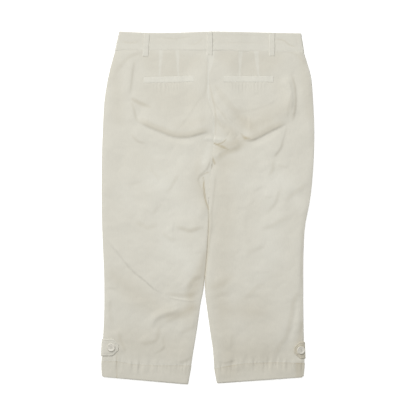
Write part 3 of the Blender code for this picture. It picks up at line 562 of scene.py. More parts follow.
class CapriColours(bpy.types.PropertyGroup):
    """Colours of the cloth, trimmings and stage."""

    twill: colour_setting("Twill", "d9d6ca", "One layer of off-white cotton twill")
    # also the colour of painted light, where broad swells and the top of the hem's stitching are painted
    # whiter
    doubled_and_painted_light: colour_setting("Doubled twill", "dfddd2", "Twill with more cloth behind it")
    # also the colour of painted shade, where folds, hollows, the right tab and the hem corners are painted
    # darker; faint wash clouds use it too
    gap: colour_setting("Twill over a gap", "cfcabb", "Twill with nothing close behind it")
    # painted shade: the twill is given this colour where shade falls, in creases, down folds, between the
    # legs and on the right hem tab
    painted_shade: colour_setting("Crease", "beb49b", "Twill deep in a crease")
    pocketing: colour_setting("Pocketing", "e0ded6", "Plain cotton of the pocket bags")
    thread: colour_setting("Thread", "dddacf", "Sewing thread")
    button: colour_setting("Button", "dedace", "Resin of the hem buttons")
    tape: colour_setting("Zip tape", "dcd9ce", "Woven tape of the zip")
    metal: colour_setting("Zip metal", "c9c6bd", "Nickel plating of the zip slider and its pull")
    steel: colour_setting("Hook", "c4c4c2", "Steel of the hook and bar")
    floor: colour_setting("Floor", "c0c0bf", "Opal acrylic of the light table that the garment lies on")


# ------------------------------------------------------------------ curves and heights
RUMPLE_WAVES = 22
CREASE_TAPER = 0.28         # a crease dies out over this share of its length at each end
CROWDING = (0.12, 0.42, 0.9, 1.6, 2.5, 3.6, 5.0)    # distances of a grid's closer places from an edge


def ease(value):
    """0 to 1 with soft ends."""
    t = np.clip(value, 0.0, 1.0)
    return t * t * (3.0 - 2.0 * t)


def arc(value):
    """0 to 1 on a quarter round: steep at 0 and level at 1."""
    t = np.clip(value, 0.0, 1.0)
    return np.sqrt(1.0 - (1.0 - t) ** 2)


def at_least(value, least, soft=0.5):
    """The larger of the two, with a rounded corner where they meet."""
    return 0.5 * (value + least + np.sqrt((value - least) ** 2 + soft * soft))


def read_rows(rows, t):
    """Columns of a table at the row numbers t, on a smooth curve through its rows."""
    rows = np.asarray(rows, float)
    last = len(rows) - 1
    i = np.clip(np.floor(t).astype(int), 0, last - 1)
    s = (np.asarray(t, float) - i)[..., None]
    a, b = rows[np.maximum(i - 1, 0)], rows[i]
    c, d = rows[i + 1], rows[np.minimum(i + 2, last)]
    found = b + 0.5 * s * (c - a + s * (2 * a - 5 * b + 4 * c - d + s * (3 * (b - c) + d - a)))
    return np.moveaxis(found, -1, 0)


def smooth_path(points, per_leg=6):
    """Points along a smooth curve through the given ones."""
    return read_rows(points, np.linspace(0, len(points) - 1, (len(points) - 1) * per_leg + 1)).T


def follow(path, x, y):
    """How far along a path each place is, from 0 to 1, and how far to the left of it."""
    legs = np.diff(path[:, :2], axis=0)
    lengths = np.maximum(np.hypot(legs[:, 0], legs[:, 1]), 1e-9)
    starts = np.concatenate(([0.0], np.cumsum(lengths)))
    best = np.full(x.shape, np.inf)
    along, side = np.zeros(x.shape), np.zeros(x.shape)
    for (px, py), (dx, dy), length, start in zip(path[:-1, :2], legs, lengths, starts):
        across = ((y - py) * dx - (x - px) * dy) / length
        run = np.clip(((x - px) * dx + (y - py) * dy) / length, 0.0, length)
        away = np.hypot(x - px - run * dx / length, y - py - run * dy / length)
        nearer = away < best
        best = np.where(nearer, away, best)
        along = np.where(nearer, (start + run) / starts[-1], along)
        side = np.where(nearer, np.where(across < 0, -away, away), side)
    return along, side


def near_path(path, reach, x, y):
    """Indexes of the places in the box round a path."""
    low, high = path[:, :2].min(0) - reach, path[:, :2].max(0) + reach
    return np.flatnonzero((x > low[0]) & (x < high[0]) & (y > low[1]) & (y < high[1]))


def crease_relief(creases, x, y):
    """Height that creases add at each place, and how deep in one it is, as the weight of the shade painted
    there.
    """
    height, depth = np.zeros(x.shape), np.zeros(x.shape)
    for crease in creases:
        path = smooth_path(crease.points)
        near = near_path(path, max(crease.left, crease.right), x, y)
        if not len(near):
            continue
        along, side = follow(path, x[near], y[near])
        t = np.clip(1.0 - np.abs(side) / np.where(side > 0, crease.left, crease.right), 0.0, 1.0)
        shape = ease(t) + crease.crisp * (t * t - ease(t))
        shape = shape * ease(along / CREASE_TAPER) * ease((1.0 - along) / CREASE_TAPER)
        height[near] += crease.rise * shape
        depth[near] += max(-crease.rise, 0.0) * shape * t * t
    return height, depth


def fall_relief(falls, x, y):
    """Height that the one-sided folds add at each place, and how far down one it is, as the weight of the
    shade painted there.
    """
    height, depth = np.zeros(x.shape), np.zeros(x.shape)
    for fall in falls:
        path = smooth_path(fall.points)
        long = np.hypot(*np.diff(path, axis=0).T).sum()
        back = min(fall.back, FOLD_BACK_SHARE * long)
        near = near_path(path, back + fall.width, x, y)
        if not len(near):
            continue
        along, side = follow(path, x[near], y[near])
        q = np.clip(0.5 + side / fall.width, 0.0, 1.0)
        edge = ease(q) + abs(fall.turn) * ((arc(q) if fall.turn < 0 else q * q) - ease(q))
        away = ease(1.0 - np.maximum(side - 0.5 * fall.width, 0.0) / back)
        taper = min(FOLD_END_SHARE, FOLD_END / long)
        ends = ease(along / taper) * ease((1.0 - along) / taper)
        height[near] += fall.drop * edge * away * ends
        # the painted shade is darkest halfway down, or nearer the end that is sharp
        steep = 1.0 + 1.2 * fall.turn * (q - 0.5)
        depth[near] += min(fall.drop, DARKEST_DROP) * 4.0 * q * (1.0 - q) * steep * ends
    return height, depth


def swell_relief(swells, x, y):
    """Height that broad swells add at each place."""
    return sum(s.rise * np.exp(-((x - s.x) / s.reach_x) ** 2 - ((y - s.y) / s.reach_y) ** 2) for s in swells)


def rumple(x, y, seed, size, height):
    """Gentle unevenness: waves of many directions, each about size across."""
    chance = np.random.default_rng(seed)
    total = np.zeros(x.shape)
    for _ in range(RUMPLE_WAVES):
        turn = chance.uniform(0, math.tau)
        wave = size * chance.uniform(0.6, 1.7)
        start = chance.uniform(0, math.tau)
        total += np.sin(math.tau * (x * math.cos(turn) + y * math.sin(turn)) / wave + start)
    return height * total / math.sqrt(RUMPLE_WAVES / 2)


def strip_amount(strips, x, y):
    """How much whiter (above 0) or darker (below 0) the strips paint the cloth at each place, for two layers
    of cloth and for painted light and shade.
    """
    total = np.zeros(x.shape)
    for strip in strips:
        path = smooth_path(strip.points)
        near = near_path(path, path[:, 2].max() + strip.edge, x, y)
        if not len(near):
            continue
        along, side = follow(path, x[near], y[near])
        half = np.interp(along, np.linspace(0, 1, len(path)), path[:, 2])
        total[near] += strip.amount * ease((half - np.abs(side)) / strip.edge + 0.5)
    return total


class Outline:
    """A back's outline, read at any height on the garment."""

    def __init__(self, side):
        rows = read_rows(SECTIONS[side], np.linspace(0, len(SECTIONS[side]) - 1, 200))
        self.outer_y, self.outer_x = rows[1][::-1], rows[0][::-1]
        self.inner_y, self.inner_x, self.roll = rows[3][::-1], rows[2][::-1], rows[4][::-1]
        self.hem_ends = sorted(((rows[0][-1], rows[1][-1]), (rows[2][-1], rows[3][-1])))

    def outer(self, y):
        return np.interp(y, self.outer_y, self.outer_x)

    def inner(self, y):
        return np.interp(y, self.inner_y, self.inner_x)

    def hem(self, x):
        return np.interp(x, *zip(*self.hem_ends))

    def inner_roll(self, y):
        return np.interp(y, self.inner_y, self.roll)


OUTLINES = {side: Outline(side) for side in SECTIONS}
LEFT_STITCH = ((-228, -333), (-200, -332.5), (-163, -339.6), (-107, -341.8), (-40, -342.2))
RIGHT_STITCH = ((19, -348), (49, -342), (83, -337), (149, -335), (207, -337))
HEM_STITCHING = {"left": LEFT_STITCH, "right": RIGHT_STITCH}
VENT_STITCHING = {"left": ((-199.0, -338.0), (-198.4, -366.0)), "right": ((186.6, -338.0), (186.0, -366.0))}
FLY_STITCHING = ((-26.0, 340.0), (-26.0, 215.0), (-22.0, 196.0), (-10.0, 180.0), (2.0, 174.0))
HEM_ROW_Y, HEM_ROW_END = -335.0, 4.0        # about its height, and how far from the edge it ends
CENTRE_STITCH = 3.4         # the centre seam's stitching is this far to the left of it
CENTRE_STITCH_Y = (336.0, 178.0)
FOOT_STITCH = 0.06          # the waistband's is this share of its height up from its foot


def stitch_y(side, x):
    """Height on the leg of the hem's stitching."""
    points = np.array(HEM_STITCHING[side])
    return np.interp(x, points[:, 0], points[:, 1])


def rise_across(rise, x):
    """0 away from what the front holds and 1 over it, across the wearer."""
    return ease((rise.reach - np.abs(x - rise.x)) / rise.slope)


def rise_up(rise, y):
    """0 below what the front holds and 1 beside and over it."""
    return ease((y - rise.foot_y) / rise.foot_slope)


def fly_rise(x, y):
    """0 away from the zip and 1 over it."""
    return rise_across(FLY_RISE, x) * rise_up(FLY_RISE, y)


def bag_under(side, x, y):
    """1 over a pocket bag and 0 away from it."""
    welt = WELTS[side]
    middle_x, middle_y = 0.5 * (welt.outer_x + welt.inner_x), 0.5 * (welt.outer_y + welt.inner_y)
    across = ease((0.5 * BAG_WIDTH + BAG_MARGIN - np.abs(x - middle_x)) / BAG_MARGIN)
    below_top = ease((middle_y + BAG_TOP + BAG_MARGIN - y) / BAG_MARGIN)
    return across * below_top * ease((y - middle_y + BAG_DEPTH + BAG_MARGIN) / BAG_MARGIN)


def edge_round(side, y):
    """Radius of a leg's rolled outer edge: wider at the right hem, where it turns under its tab."""
    wider = TAB_ROUND if side == "right" else 0.0
    return ROUND + wider * ease(1.0 - np.abs(y - TABS[side].centre_y) / TAB_ROUND_REACH)


def welt_bed(side, x, y):
    """How far the seat sinks where its welt is set in, and the short puckers round it."""
    welt = WELTS[side]
    middle_x, half_x = 0.5 * (welt.outer_x + welt.inner_x), 0.5 * abs(welt.inner_x - welt.outer_x)
    middle = np.interp(x, *zip(*sorted(((welt.outer_x, welt.outer_y), (welt.inner_x, welt.inner_y)))))
    from_middle = np.abs(x - middle_x)
    bed = ease((half_x + 0.5 * BED_EDGE - from_middle) / BED_EDGE)
    bed = bed * ease((0.5 * WELT_HEIGHT + 0.5 * BED_EDGE - np.abs(y - middle)) / BED_EDGE)
    # the puckers fade out over the last 26 mm below the welt and the last 16 mm above it
    below = ease((middle - 4.0 - y) / 4.0) * ease((y - middle + WELT_RIBS_BELOW) / 26.0)
    above = ease((y - middle - 4.0) / 4.0) * ease((middle + WELT_RIBS_ABOVE - y) / 16.0)
    window = ease((WELT_RIBS_SHARE * half_x - from_middle) / 14.0)
    ribs = WELT_RIB * np.sin(math.tau * x / WELT_RIB_PITCH + 1.6 * rumple(x, 0.03 * y, 71, 34.0, 1.0))
    return ribs * window * (below + 0.4 * above) - WELT_SINK * bed


def puckers(side, x, y):
    """The hem's short creases across its stitching, its fine ribs below it and the line it presses in."""
    from_row = y - stitch_y(side, x)
    total = np.zeros(x.shape)
    for at, depth in HEM_PUCKERS[side]:
        wide, tall = 3.4 + 1.2 * depth, 20.0 + 8 * depth
        total -= 0.9 * depth * np.exp(-((x - at) / wide) ** 2) * ease(1.0 - np.abs(from_row) / tall)
    ribs = HEM_RIB * np.sin(math.tau * x / HEM_RIB_PITCH + 2.0 * rumple(x, 0.0 * y, 6, 40.0, 1.0))
    total = total + ribs * ease((1.0 - from_row) / 3.0) * ease((from_row + HEM_RIBS_BELOW) / 8.0)
    reach = np.where(from_row < 0.0, HEM_RUMPLED_BELOW, HEM_RUMPLED_ABOVE)
    small = rumple(x, 0.12 * y, 5, 9.0, 0.42) * ease(1.0 - np.abs(from_row) / reach)
    return total + small - 0.25 * np.exp(-(from_row / 1.2) ** 2)


def legs_meet(side, x, y):
    """How little light reaches each place between the legs, where they lie against each other."""
    outline = OUTLINES[side]
    close = ease((y - LEGS_PART_Y) / 20.0) * outline.inner_roll(y)
    return LEGS_SHADE * close * np.exp(-(np.abs(x - outline.inner(y)) / LEGS_SHADE_REACH) ** 2)


def back_under(side, x, y, share=1.0):
    """Underside of a back, in mm, and how deep in a crease each place is, as the weight of the shade painted
    there.
    """
    outline = OUTLINES[side]
    from_outer = np.abs(x - outline.outer(y))
    from_inner = np.abs(x - outline.inner(y))
    roll = outline.inner_roll(y)
    from_edge = np.minimum(from_outer, from_inner + SEAM_FAR * (1.0 - roll))
    loft = WAIST_LOFT + (SEAT_LOFT - WAIST_LOFT) * ease((BAND_FOOT_Y - y) / WAIST_SLOPE)
    height, depth = crease_relief(CREASES[side], x, y)
    fallen, shaded = fall_relief(FALLS[side], x, y)
    height = height + fallen + swell_relief(SWELLS[side], x, y)
    for wave in BACK_RUMPLES:
        height = height + rumple(x, y, *wave)
    height = height + 0.16 * np.abs(rumple(x, y, *SHARP_RUMPLE))
    # creases are lower beside a rolled edge and end under the waistband
    height = height * (0.25 + 0.75 * ease(from_edge / 9.0)) * ease((346.0 - y) / 12.0)
    height = share * height + puckers(side, x, y) + welt_bed(side, x, y)
    height = height - SEAM_SINK * np.exp(-(from_inner / 1.5) ** 2) * (1.0 - roll)
    lift = np.maximum(fly_rise(x, y), rise_across(HOOK_RISE, x) * rise_up(HOOK_RISE, y))
    plateau = REST + loft * ease(0.5 + from_edge / LOFT_REACH) + height + FLY_LIFT * lift
    least = np.maximum(LEAST_UNDER, LEAST_OVER_BAG * bag_under(side, x, y))
    least = least + (LEAST_OVER_FLY - least) * fly_rise(x, y)
    plateau = at_least(plateau, least - 0.5 * (1.0 - ease(from_edge / 12.0)))
    plateau = plateau - WAIST_SINK * np.exp(-((343.0 - y) / 1.6) ** 2)
    turned = arc(from_outer / edge_round(side, y)) * (1.0 - roll * (1.0 - arc(from_inner / ROUND)))
    folded = HEM_TURN * (1.0 - arc((y - outline.hem(x)) / HEM_ROUND))
    return EDGE_Z + (plateau - folded - EDGE_Z) * turned, depth + shaded


def back_top(side, x, y, cloth):
    """Upper face of a back at single places or arrays of them."""
    x, y = np.atleast_1d(np.asarray(x, float)), np.atleast_1d(np.asarray(y, float))
    return back_under(side, x, y)[0] + cloth


def spaced(length, step, fine=()):
    """Places from 0 to 1 along a length, with closer ones beside each fine place and both ends."""
    offsets = np.array(CROWDING)
    even = np.linspace(0, length, max(round(length / step), 1) + 1)
    places = even
    for at in (0.0, length, *fine):
        places = places[np.abs(places - at) > CROWDING[-1] + 0.5 * step]
    for at in (0.0, length, *fine):
        places = np.concatenate((places, [at], at - offsets, at + offsets))
    places = np.unique(np.round(places[(places >= 0) & (places <= length)], 3))
    return places / length


# ------------------------------------------------------------------ materials
TWILL, POCKETING = "cotton twill, washed", "cotton pocketing, plain woven"
THREAD, RESIN = "polyester thread, twisted", "polyester resin, cast and polished"
TAPE, NICKEL, STEEL = "polyester zip tape, woven", "zinc, die-cast and nickel-plated", "steel, stamped"
OPAL = "acrylic, opal, lit from below"

WAVE_TO_PITCH = math.tau / 20.0     # scale of a wave pattern that repeats once in each unit
# Real cloth is finer than this, with about 0.6 mm from rib to rib of a twill, 0.3 mm from yarn to
# yarn of pocketing, 0.5 mm in a zip's tape and 0.2 mm from turn to turn of a thread's plies. Those
# would not show from where the whole garment is seen, so all are drawn coarser.
TWILL_PITCH, POCKETING_PITCH, TAPE_PITCH = 1.3, 0.8, 1.2
THREAD_TWIST = 2.0 * WAVE_TO_PITCH
TWILL_TURN = 32.0                   # slant of the twill's ribs, in degrees
# Uneven patterns, as spots to a millimetre
YARN_LUMPS = 0.7
SLUBS = 0.42                        # thick places in the yarns
SLUB_STRETCH = 0.3                  # they are this thin across for their length
SLUB_SHARE = 0.35
WASH_CLOUDS = 0.016
PEARL_CLOUDS = 0.26
NICKEL_SCRATCHES, STEEL_SCRATCHES = 0.9, 0.6
OPAL_GRAIN = 0.15


def add_node(tree, kind, inputs=(), links=(), **settings):
    """A node with its settings, its sockets' values and the outputs that feed its sockets."""
    made = tree.nodes.new(kind)
    for key, value in settings.items():
        setattr(made, key, value)
    for key, value in dict(inputs).items():
        made.inputs[key].default_value = value
    for key, source in dict(links).items():
        tree.links.new(source, made.inputs[key])
    return made


def toned(tree, colour, pattern, low, high, start=0.0, end=1.0):
    """A colour times a tone that goes from low to high as a pattern goes from start to end."""
    tone = add_node(
        tree, "ShaderNodeMapRange", {"From Min": start, "From Max": end, "To Min": low, "To Max": high},
        {"Value": pattern})
    values, links = {"Factor": 1.0}, {"B": tone.outputs["Result"]}
    (links if isinstance(colour, bpy.types.NodeSocket) else values)["A"] = colour
    made = add_node(tree, "ShaderNodeMix", values, links, data_type="RGBA", blend_type="MULTIPLY")
    return made.outputs["Result"]


def woven(tree, pitch, turn, depth, lumps):
    """Bump of a weave: ridges at a pitch in mm turned by an angle, broken up by a share of lumpy yarns."""
    spot = add_node(tree, "ShaderNodeTexCoord").outputs["Object"]
    lay = add_node(tree, "ShaderNodeMapping", {"Rotation": (0.0, 0.0, math.radians(turn))}, {"Vector": spot})
    yarns = add_node(tree, "ShaderNodeTexNoise", {"Scale": YARN_LUMPS / MM, "Detail": 2.0}, {"Vector": spot})
    ridges = add_node(
        tree, "ShaderNodeTexWave",
        {"Scale": WAVE_TO_PITCH / (pitch * MM), "Distortion": 1.2, "Detail": 1.0, "Detail Scale": 2.0},
        {"Vector": lay.outputs["Vector"]}, wave_type="BANDS", bands_direction="X")
    long_way = add_node(tree, "ShaderNodeMapping", {"Scale": (1.0, SLUB_STRETCH, 1.0)}, {"Vector": spot})
    slubs = add_node(
        tree, "ShaderNodeTexNoise", {"Scale": SLUBS / MM, "Detail": 3.0},
        {"Vector": long_way.outputs["Vector"]})
    height = ridges.outputs["Fac"]
    for share, pattern in ((lumps, yarns), (SLUB_SHARE, slubs)):
        height = add_node(
            tree, "ShaderNodeMix", {"Factor": share}, {"A": height, "B": pattern.outputs["Fac"]},
            data_type="FLOAT").outputs["Result"]
    bump = add_node(tree, "ShaderNodeBump", {"Strength": 0.7, "Distance": depth * MM}, {"Height": height})
    return spot, slubs.outputs["Fac"], bump.outputs["Normal"]


def twill(tree, colours):
    """Cotton twill: soft and matt, faintly ribbed and yarn-streaked, whiter where two layers lie together,
    with painted light and painted shade from its attributes.
    """
    spot, streaks, normal = woven(tree, TWILL_PITCH, TWILL_TURN, 0.09, 0.45)
    layers, painted_shade = (add_node(tree, "ShaderNodeAttribute", attribute_name=key).outputs["Fac"]
                      for key in ("layers", "painted_shade"))
    thin, doubled_and_painted_light = (
        add_node(tree, "ShaderNodeMath", {1: way}, {0: layers}, operation="MULTIPLY",
                 use_clamp=True).outputs["Value"]
        for way in (-1.0, 1.0))
    cloudy = add_node(
        tree, "ShaderNodeTexNoise", {"Scale": WASH_CLOUDS / MM, "Detail": 3.0}, {"Vector": spot})
    washed = add_node(
        tree, "ShaderNodeMapRange", {"From Min": 0.35, "From Max": 0.75, "To Min": 0.0, "To Max": 0.16},
        {"Value": cloudy.outputs["Fac"]})
    base = add_node(
        tree, "ShaderNodeMix", {"A": colours.twill, "B": colours.gap}, {"Factor": washed.outputs["Result"]},
        data_type="RGBA").outputs["Result"]
    # whiter for two layers of cloth and painted light, darker for painted shade, and toward the crease
    # colour where more shade is painted
    for share, colour in ((thin, colours.gap), (doubled_and_painted_light, colours.doubled_and_painted_light), (painted_shade, colours.painted_shade)):
        base = add_node(
            tree, "ShaderNodeMix", {"B": colour}, {"Factor": share, "A": base},
            data_type="RGBA").outputs["Result"]
    return {"Base Color": toned(tree, base, streaks, 0.985, 1.015, 0.3, 0.7), "Normal": normal}


def plain_cloth(tree, colour, pitch, depth):
    """Plain woven cloth: fine, matt and even."""
    _, streaks, normal = woven(tree, pitch, 0.0, depth, 0.6)
    return {"Base Color": toned(tree, colour, streaks, 0.95, 1.02, 0.3, 0.7), "Normal": normal}


def twisted_thread(tree, colour):
    """Core-spun thread of two twisted plies: slightly glossy, with fine slanting shadows."""
    spot = add_node(tree, "ShaderNodeTexCoord").outputs["Object"]
    twist = add_node(
        tree, "ShaderNodeTexWave", {"Scale": WAVE_TO_PITCH / (THREAD_TWIST * MM), "Distortion": 2.0},
        {"Vector": spot}, bands_direction="DIAGONAL").outputs["Fac"]
    bump = add_node(tree, "ShaderNodeBump", {"Strength": 0.5, "Distance": 0.05 * MM}, {"Height": twist})
    return {"Base Color": toned(tree, colour, twist, 0.9, 1.0), "Normal": bump.outputs["Normal"]}


def cast_resin(tree, colour):
    """Cast resin with a satin polish: soft highlights over a faint pearly cloud."""
    spot = add_node(tree, "ShaderNodeTexCoord").outputs["Object"]
    cloud = add_node(
        tree, "ShaderNodeTexNoise", {"Scale": PEARL_CLOUDS / MM, "Detail": 4.0, "Distortion": 1.5},
        {"Vector": spot}).outputs["Fac"]
    rough = add_node(tree, "ShaderNodeMapRange", {"To Min": 0.26, "To Max": 0.42}, {"Value": cloud})
    return {"Base Color": toned(tree, colour, cloud, 0.94, 1.03, 0.3, 0.7),
            "Roughness": rough.outputs["Result"]}


def scratched_metal(tree, colour, scratches):
    """Metal with fine scratches along Y that spread its highlights across them."""
    spot = add_node(tree, "ShaderNodeTexCoord").outputs["Object"]
    long_way = add_node(tree, "ShaderNodeMapping", {"Scale": (1.0, 0.1, 1.0)}, {"Vector": spot})
    lines = add_node(
        tree, "ShaderNodeTexNoise", {"Scale": scratches / MM, "Detail": 3.0},
        {"Vector": long_way.outputs["Vector"]}).outputs["Fac"]
    rough = add_node(tree, "ShaderNodeMapRange", {"To Min": 0.22, "To Max": 0.45}, {"Value": lines})
    bump = add_node(tree, "ShaderNodeBump", {"Strength": 0.3, "Distance": 0.01 * MM}, {"Height": lines})
    return {"Base Color": toned(tree, colour, lines, 0.85, 1.05), "Roughness": rough.outputs["Result"],
            "Normal": bump.outputs["Normal"]}


def opal_acrylic(tree, colour):
    """Matt opal acrylic: an even white, with the faint grain of its moulded face."""
    spot = add_node(tree, "ShaderNodeTexCoord").outputs["Object"]
    moulded = add_node(
        tree, "ShaderNodeTexNoise", {"Scale": OPAL_GRAIN / MM, "Detail": 2.0}, {"Vector": spot})
    return {"Base Color": toned(tree, colour, moulded.outputs["Fac"], 0.985, 1.0)}


def recipes(colours):
    """For each material: its shader's values, the function that adds its pattern, and what that is given."""
    cloth = {"Roughness": 0.88, "IOR": 1.47, "Specular IOR Level": 0.25,
             "Sheen Weight": 0.12, "Sheen Roughness": 0.5}
    lit = {"Roughness": 0.9, "IOR": 1.45, "Specular IOR Level": 0.2,
           "Emission Color": (1.0, 1.0, 1.0, 1.0), "Emission Strength": 0.72}
    return {
        # washed cotton scatters light in its raised fibres, so it has a soft sheen and no highlight
        TWILL: (cloth, twill, colours),
        POCKETING: (cloth, plain_cloth, colours.pocketing, POCKETING_PITCH, 0.05),
        # smooth polyester filaments catch more light than cotton does
        THREAD: ({"Roughness": 0.55, "IOR": 1.5, "Sheen Weight": 0.1}, twisted_thread, colours.thread),
        TAPE: ({"Roughness": 0.7, "IOR": 1.5}, plain_cloth, colours.tape, TAPE_PITCH, 0.08),
        # tumble polishing leaves a satin face with a thin gloss over it
        RESIN: ({"IOR": 1.55, "Coat Weight": 0.2, "Coat Roughness": 0.15}, cast_resin, colours.button),
        # plating gives warm, bright highlights, and stamped steel gives greyer ones
        NICKEL: ({"Metallic": 1.0}, scratched_metal, colours.metal, NICKEL_SCRATCHES),
        STEEL: ({"Metallic": 1.0}, scratched_metal, colours.steel, STEEL_SCRATCHES),
        # light comes up through the sheet, so shadows on it are faint
        OPAL: (lit, opal_acrylic, colours.floor),
    }


def material(context, name):
    """The named material, made when it is first asked for."""
    found = bpy.data.materials.get(name)
    if found:
        return found
    values, pattern, *given = recipes(context.scene.capri_colours)[name]
    made = bpy.data.materials.new(name)
    made.use_nodes = True
    tree = made.node_tree
    tree.nodes.clear()
    shader = add_node(tree, "ShaderNodeBsdfPrincipled", values, pattern(tree, *given))
    add_node(tree, "ShaderNodeOutputMaterial", links={"Surface": shader.outputs["BSDF"]})
    return made


def mesh_of(bm, name):
    """The finished mesh of a bmesh."""
    mesh = bpy.data.meshes.new(name)
    bm.to_mesh(mesh)
    bm.free()
    return mesh


def add_piece(context, name, mesh, finish, *nodes):
    """A finished piece: its object, material, body and the solids that it stands for."""
    made = bpy.data.objects.new(name, mesh)
    context.scene.collection.objects.link(made)
    mesh.materials.clear()
    mesh.materials.append(material(context, finish))
    mesh.shade_smooth()
    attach(made, ROOT)
    if nodes:
        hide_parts(*nodes)
    return made


def lay_cloth(context, name, across, along, place, wall, finish=TWILL, thin=None):
    """A sheet of cloth over the solid of its name, on a grid of u left to right and v from hem to waist.

    place(u, v) gives x, y and underside in mm and a dictionary of paint. Where its "thick" is 1
    the wall is full, and where it's 0 it is thin.
    """
    bm = bmesh.new()
    bmesh.ops.create_grid(bm, x_segments=len(across) - 1, y_segments=len(along) - 1, size=0.5)
    mesh = mesh_of(bm, name)
    spots = np.empty(len(mesh.vertices) * 3)
    mesh.vertices.foreach_get("co", spots)
    spots = spots.reshape(-1, 3)
    u = across[np.rint((spots[:, 0] + 0.5) * (len(across) - 1)).astype(int)]
    v = along[np.rint((spots[:, 1] + 0.5) * (len(along) - 1)).astype(int)]
    x, y, z, paint = place(u, v)
    mesh.vertices.foreach_set("co", (np.column_stack((x, y, z)) * MM).ravel())
    thick = paint.pop("thick", None)
    for key, values in paint.items():
        mesh.attributes.new(key, "FLOAT", "POINT").data.foreach_set("value", np.asarray(values, np.float32))
    mesh.update()
    made = add_piece(context, name, mesh, finish, name)
    shell = made.modifiers.new("wall", "SOLIDIFY")
    shell.thickness = wall
    shell.offset = 1.0
    if thick is not None:
        group = made.vertex_groups.new(name="full_wall")
        group.add(np.flatnonzero(thick > 0.5).tolist(), 1.0, "REPLACE")
        shell.vertex_group = group.name
        shell.thickness_vertex_group = thin / wall


def join_paint(x, layers=0.0, painted_shade=0.0):
    """Paint for the twill: how much whiter or darker it is, for two layers of cloth and painted light and
    shade, and how much shade is painted on it, as in a crease.
    """
    layers = np.zeros(x.shape) + layers
    return {"layers": layers, "painted_shade": np.clip(painted_shade + np.maximum(-layers - 1.0, 0.0), 0.0, 1.0)}


def section_places(side, u, v, inset):
    """Places on a leg's sections: u across it left to right, v from 0 at the hem to 1 at the waist."""
    last = len(SECTIONS[side]) - 1
    outer_x, outer_y, inner_x, inner_y, roll = read_rows(SECTIONS[side], last * (1.0 - v))
    from_hem = v * last * HEM_DEPTH
    corner = np.clip(1.0 - from_hem / HEM_CORNER, 0.0, 1.0)
    outer_x = outer_x - OUTWARD[side] * (inset + CORNER_IN * HEM_CORNER * corner ** 2)
    inner_x = inner_x + OUTWARD[side] * ((inset - LEG_CLOSE) * roll - SEAM_CLOSE * (1.0 - roll))
    across = u if side == "left" else 1.0 - u
    return outer_x + (inner_x - outer_x) * across, outer_y + (inner_y - outer_y) * across


def side_grid(side, step):
    """Grid places across and along a leg, closer at its edges and at the top of its turned-up hem."""
    hem = (1.0 / (len(SECTIONS[side]) - 1)) * LEG_LENGTH
    return spaced(LEG_WIDTH, step), spaced(LEG_LENGTH, step, (hem,))


def hem_thick(v, side):
    """1 where the cloth is turned up at the hem and 0 above."""
    return (v < 1.0 / (len(SECTIONS[side]) - 1) + 1e-6).astype(float)


# ------------------------------------------------------------------ stitching
STITCH_GAP = 0.28           # share of each stitch's pitch where the thread is under the cloth
STITCH_RISE = 0.12          # the thread's middle stands this share of its width above the cloth


def sew(bm, points, height, pitch, thread, down):
    """Stitches along a path, each a small bowed thread that dips into the cloth at its ends."""
    path = np.asarray(points, float)
    legs = np.hypot(*np.diff(path, axis=0).T)
    far = np.concatenate(([0.0], np.cumsum(legs)))
    count = int(far[-1] / pitch)
    if not count:
        return
    starts = (np.arange(count) + 0.5) * far[-1] / count
    x, y = np.interp(starts, far, path[:, 0]), np.interp(starts, far, path[:, 1])
    half = 0.5 * pitch * (1.0 - STITCH_GAP)
    ahead = np.interp(starts + 0.1, far, path[:, 0]) - np.interp(starts - 0.1, far, path[:, 0])
    upward = np.interp(starts + 0.1, far, path[:, 1]) - np.interp(starts - 0.1, far, path[:, 1])
    turn = np.arctan2(upward, ahead)
    z = height(x, y)
    rise = (height(x + half * np.cos(turn), y + half * np.sin(turn))
            - height(x - half * np.cos(turn), y - half * np.sin(turn)))
    slope = np.arctan2(rise, 2.0 * half)
    sign = -1.0 if down else 1.0
    for i in range(count):
        place = Matrix.Translation((x[i] * MM, y[i] * MM, (z[i] + sign * STITCH_RISE * thread) * MM))
        place = place @ Matrix.Rotation(turn[i], 4, "Z") @ Matrix.Rotation(-slope[i], 4, "Y")
        place = place @ Matrix.Diagonal((half * MM, 0.5 * thread * MM, 0.5 * thread * MM, 1.0))
        bmesh.ops.create_uvsphere(bm, u_segments=6, v_segments=4, radius=1.0,
                                  matrix=place @ Matrix.Rotation(0.5 * math.pi, 4, "Y"))


def sewn_piece(context, name, runs):
    """One mesh of the stitches of several runs: points, height and whether they face down."""
    sizes = context.scene.capri_sizes
    bm = bmesh.new()
    for points, height, down in runs:
        sew(bm, points, height, sizes.stitch / MM, sizes.thread / MM, down)
    add_piece(context, name, mesh_of(bm, name), THREAD)


def line(points, count):
    """More points along straight legs through the given ones."""
    points = np.asarray(points, float)
    t = np.linspace(0, len(points) - 1, count)
    return np.column_stack([np.interp(t, np.arange(len(points)), points[:, k]) for k in (0, 1)])


# ------------------------------------------------------------------ waistband
def band_places(first, last, u, v):
    """Places on the waistband: u across the wearer, v from the seam up to its top edge."""
    top_x, top_y, bottom_x, bottom_y = read_rows(BAND_ROWS, first + (last - first) * u)
    bottom_y = bottom_y - BAND_LAP
    return bottom_x + (top_x - bottom_x) * v, bottom_y + (top_y - bottom_y) * v


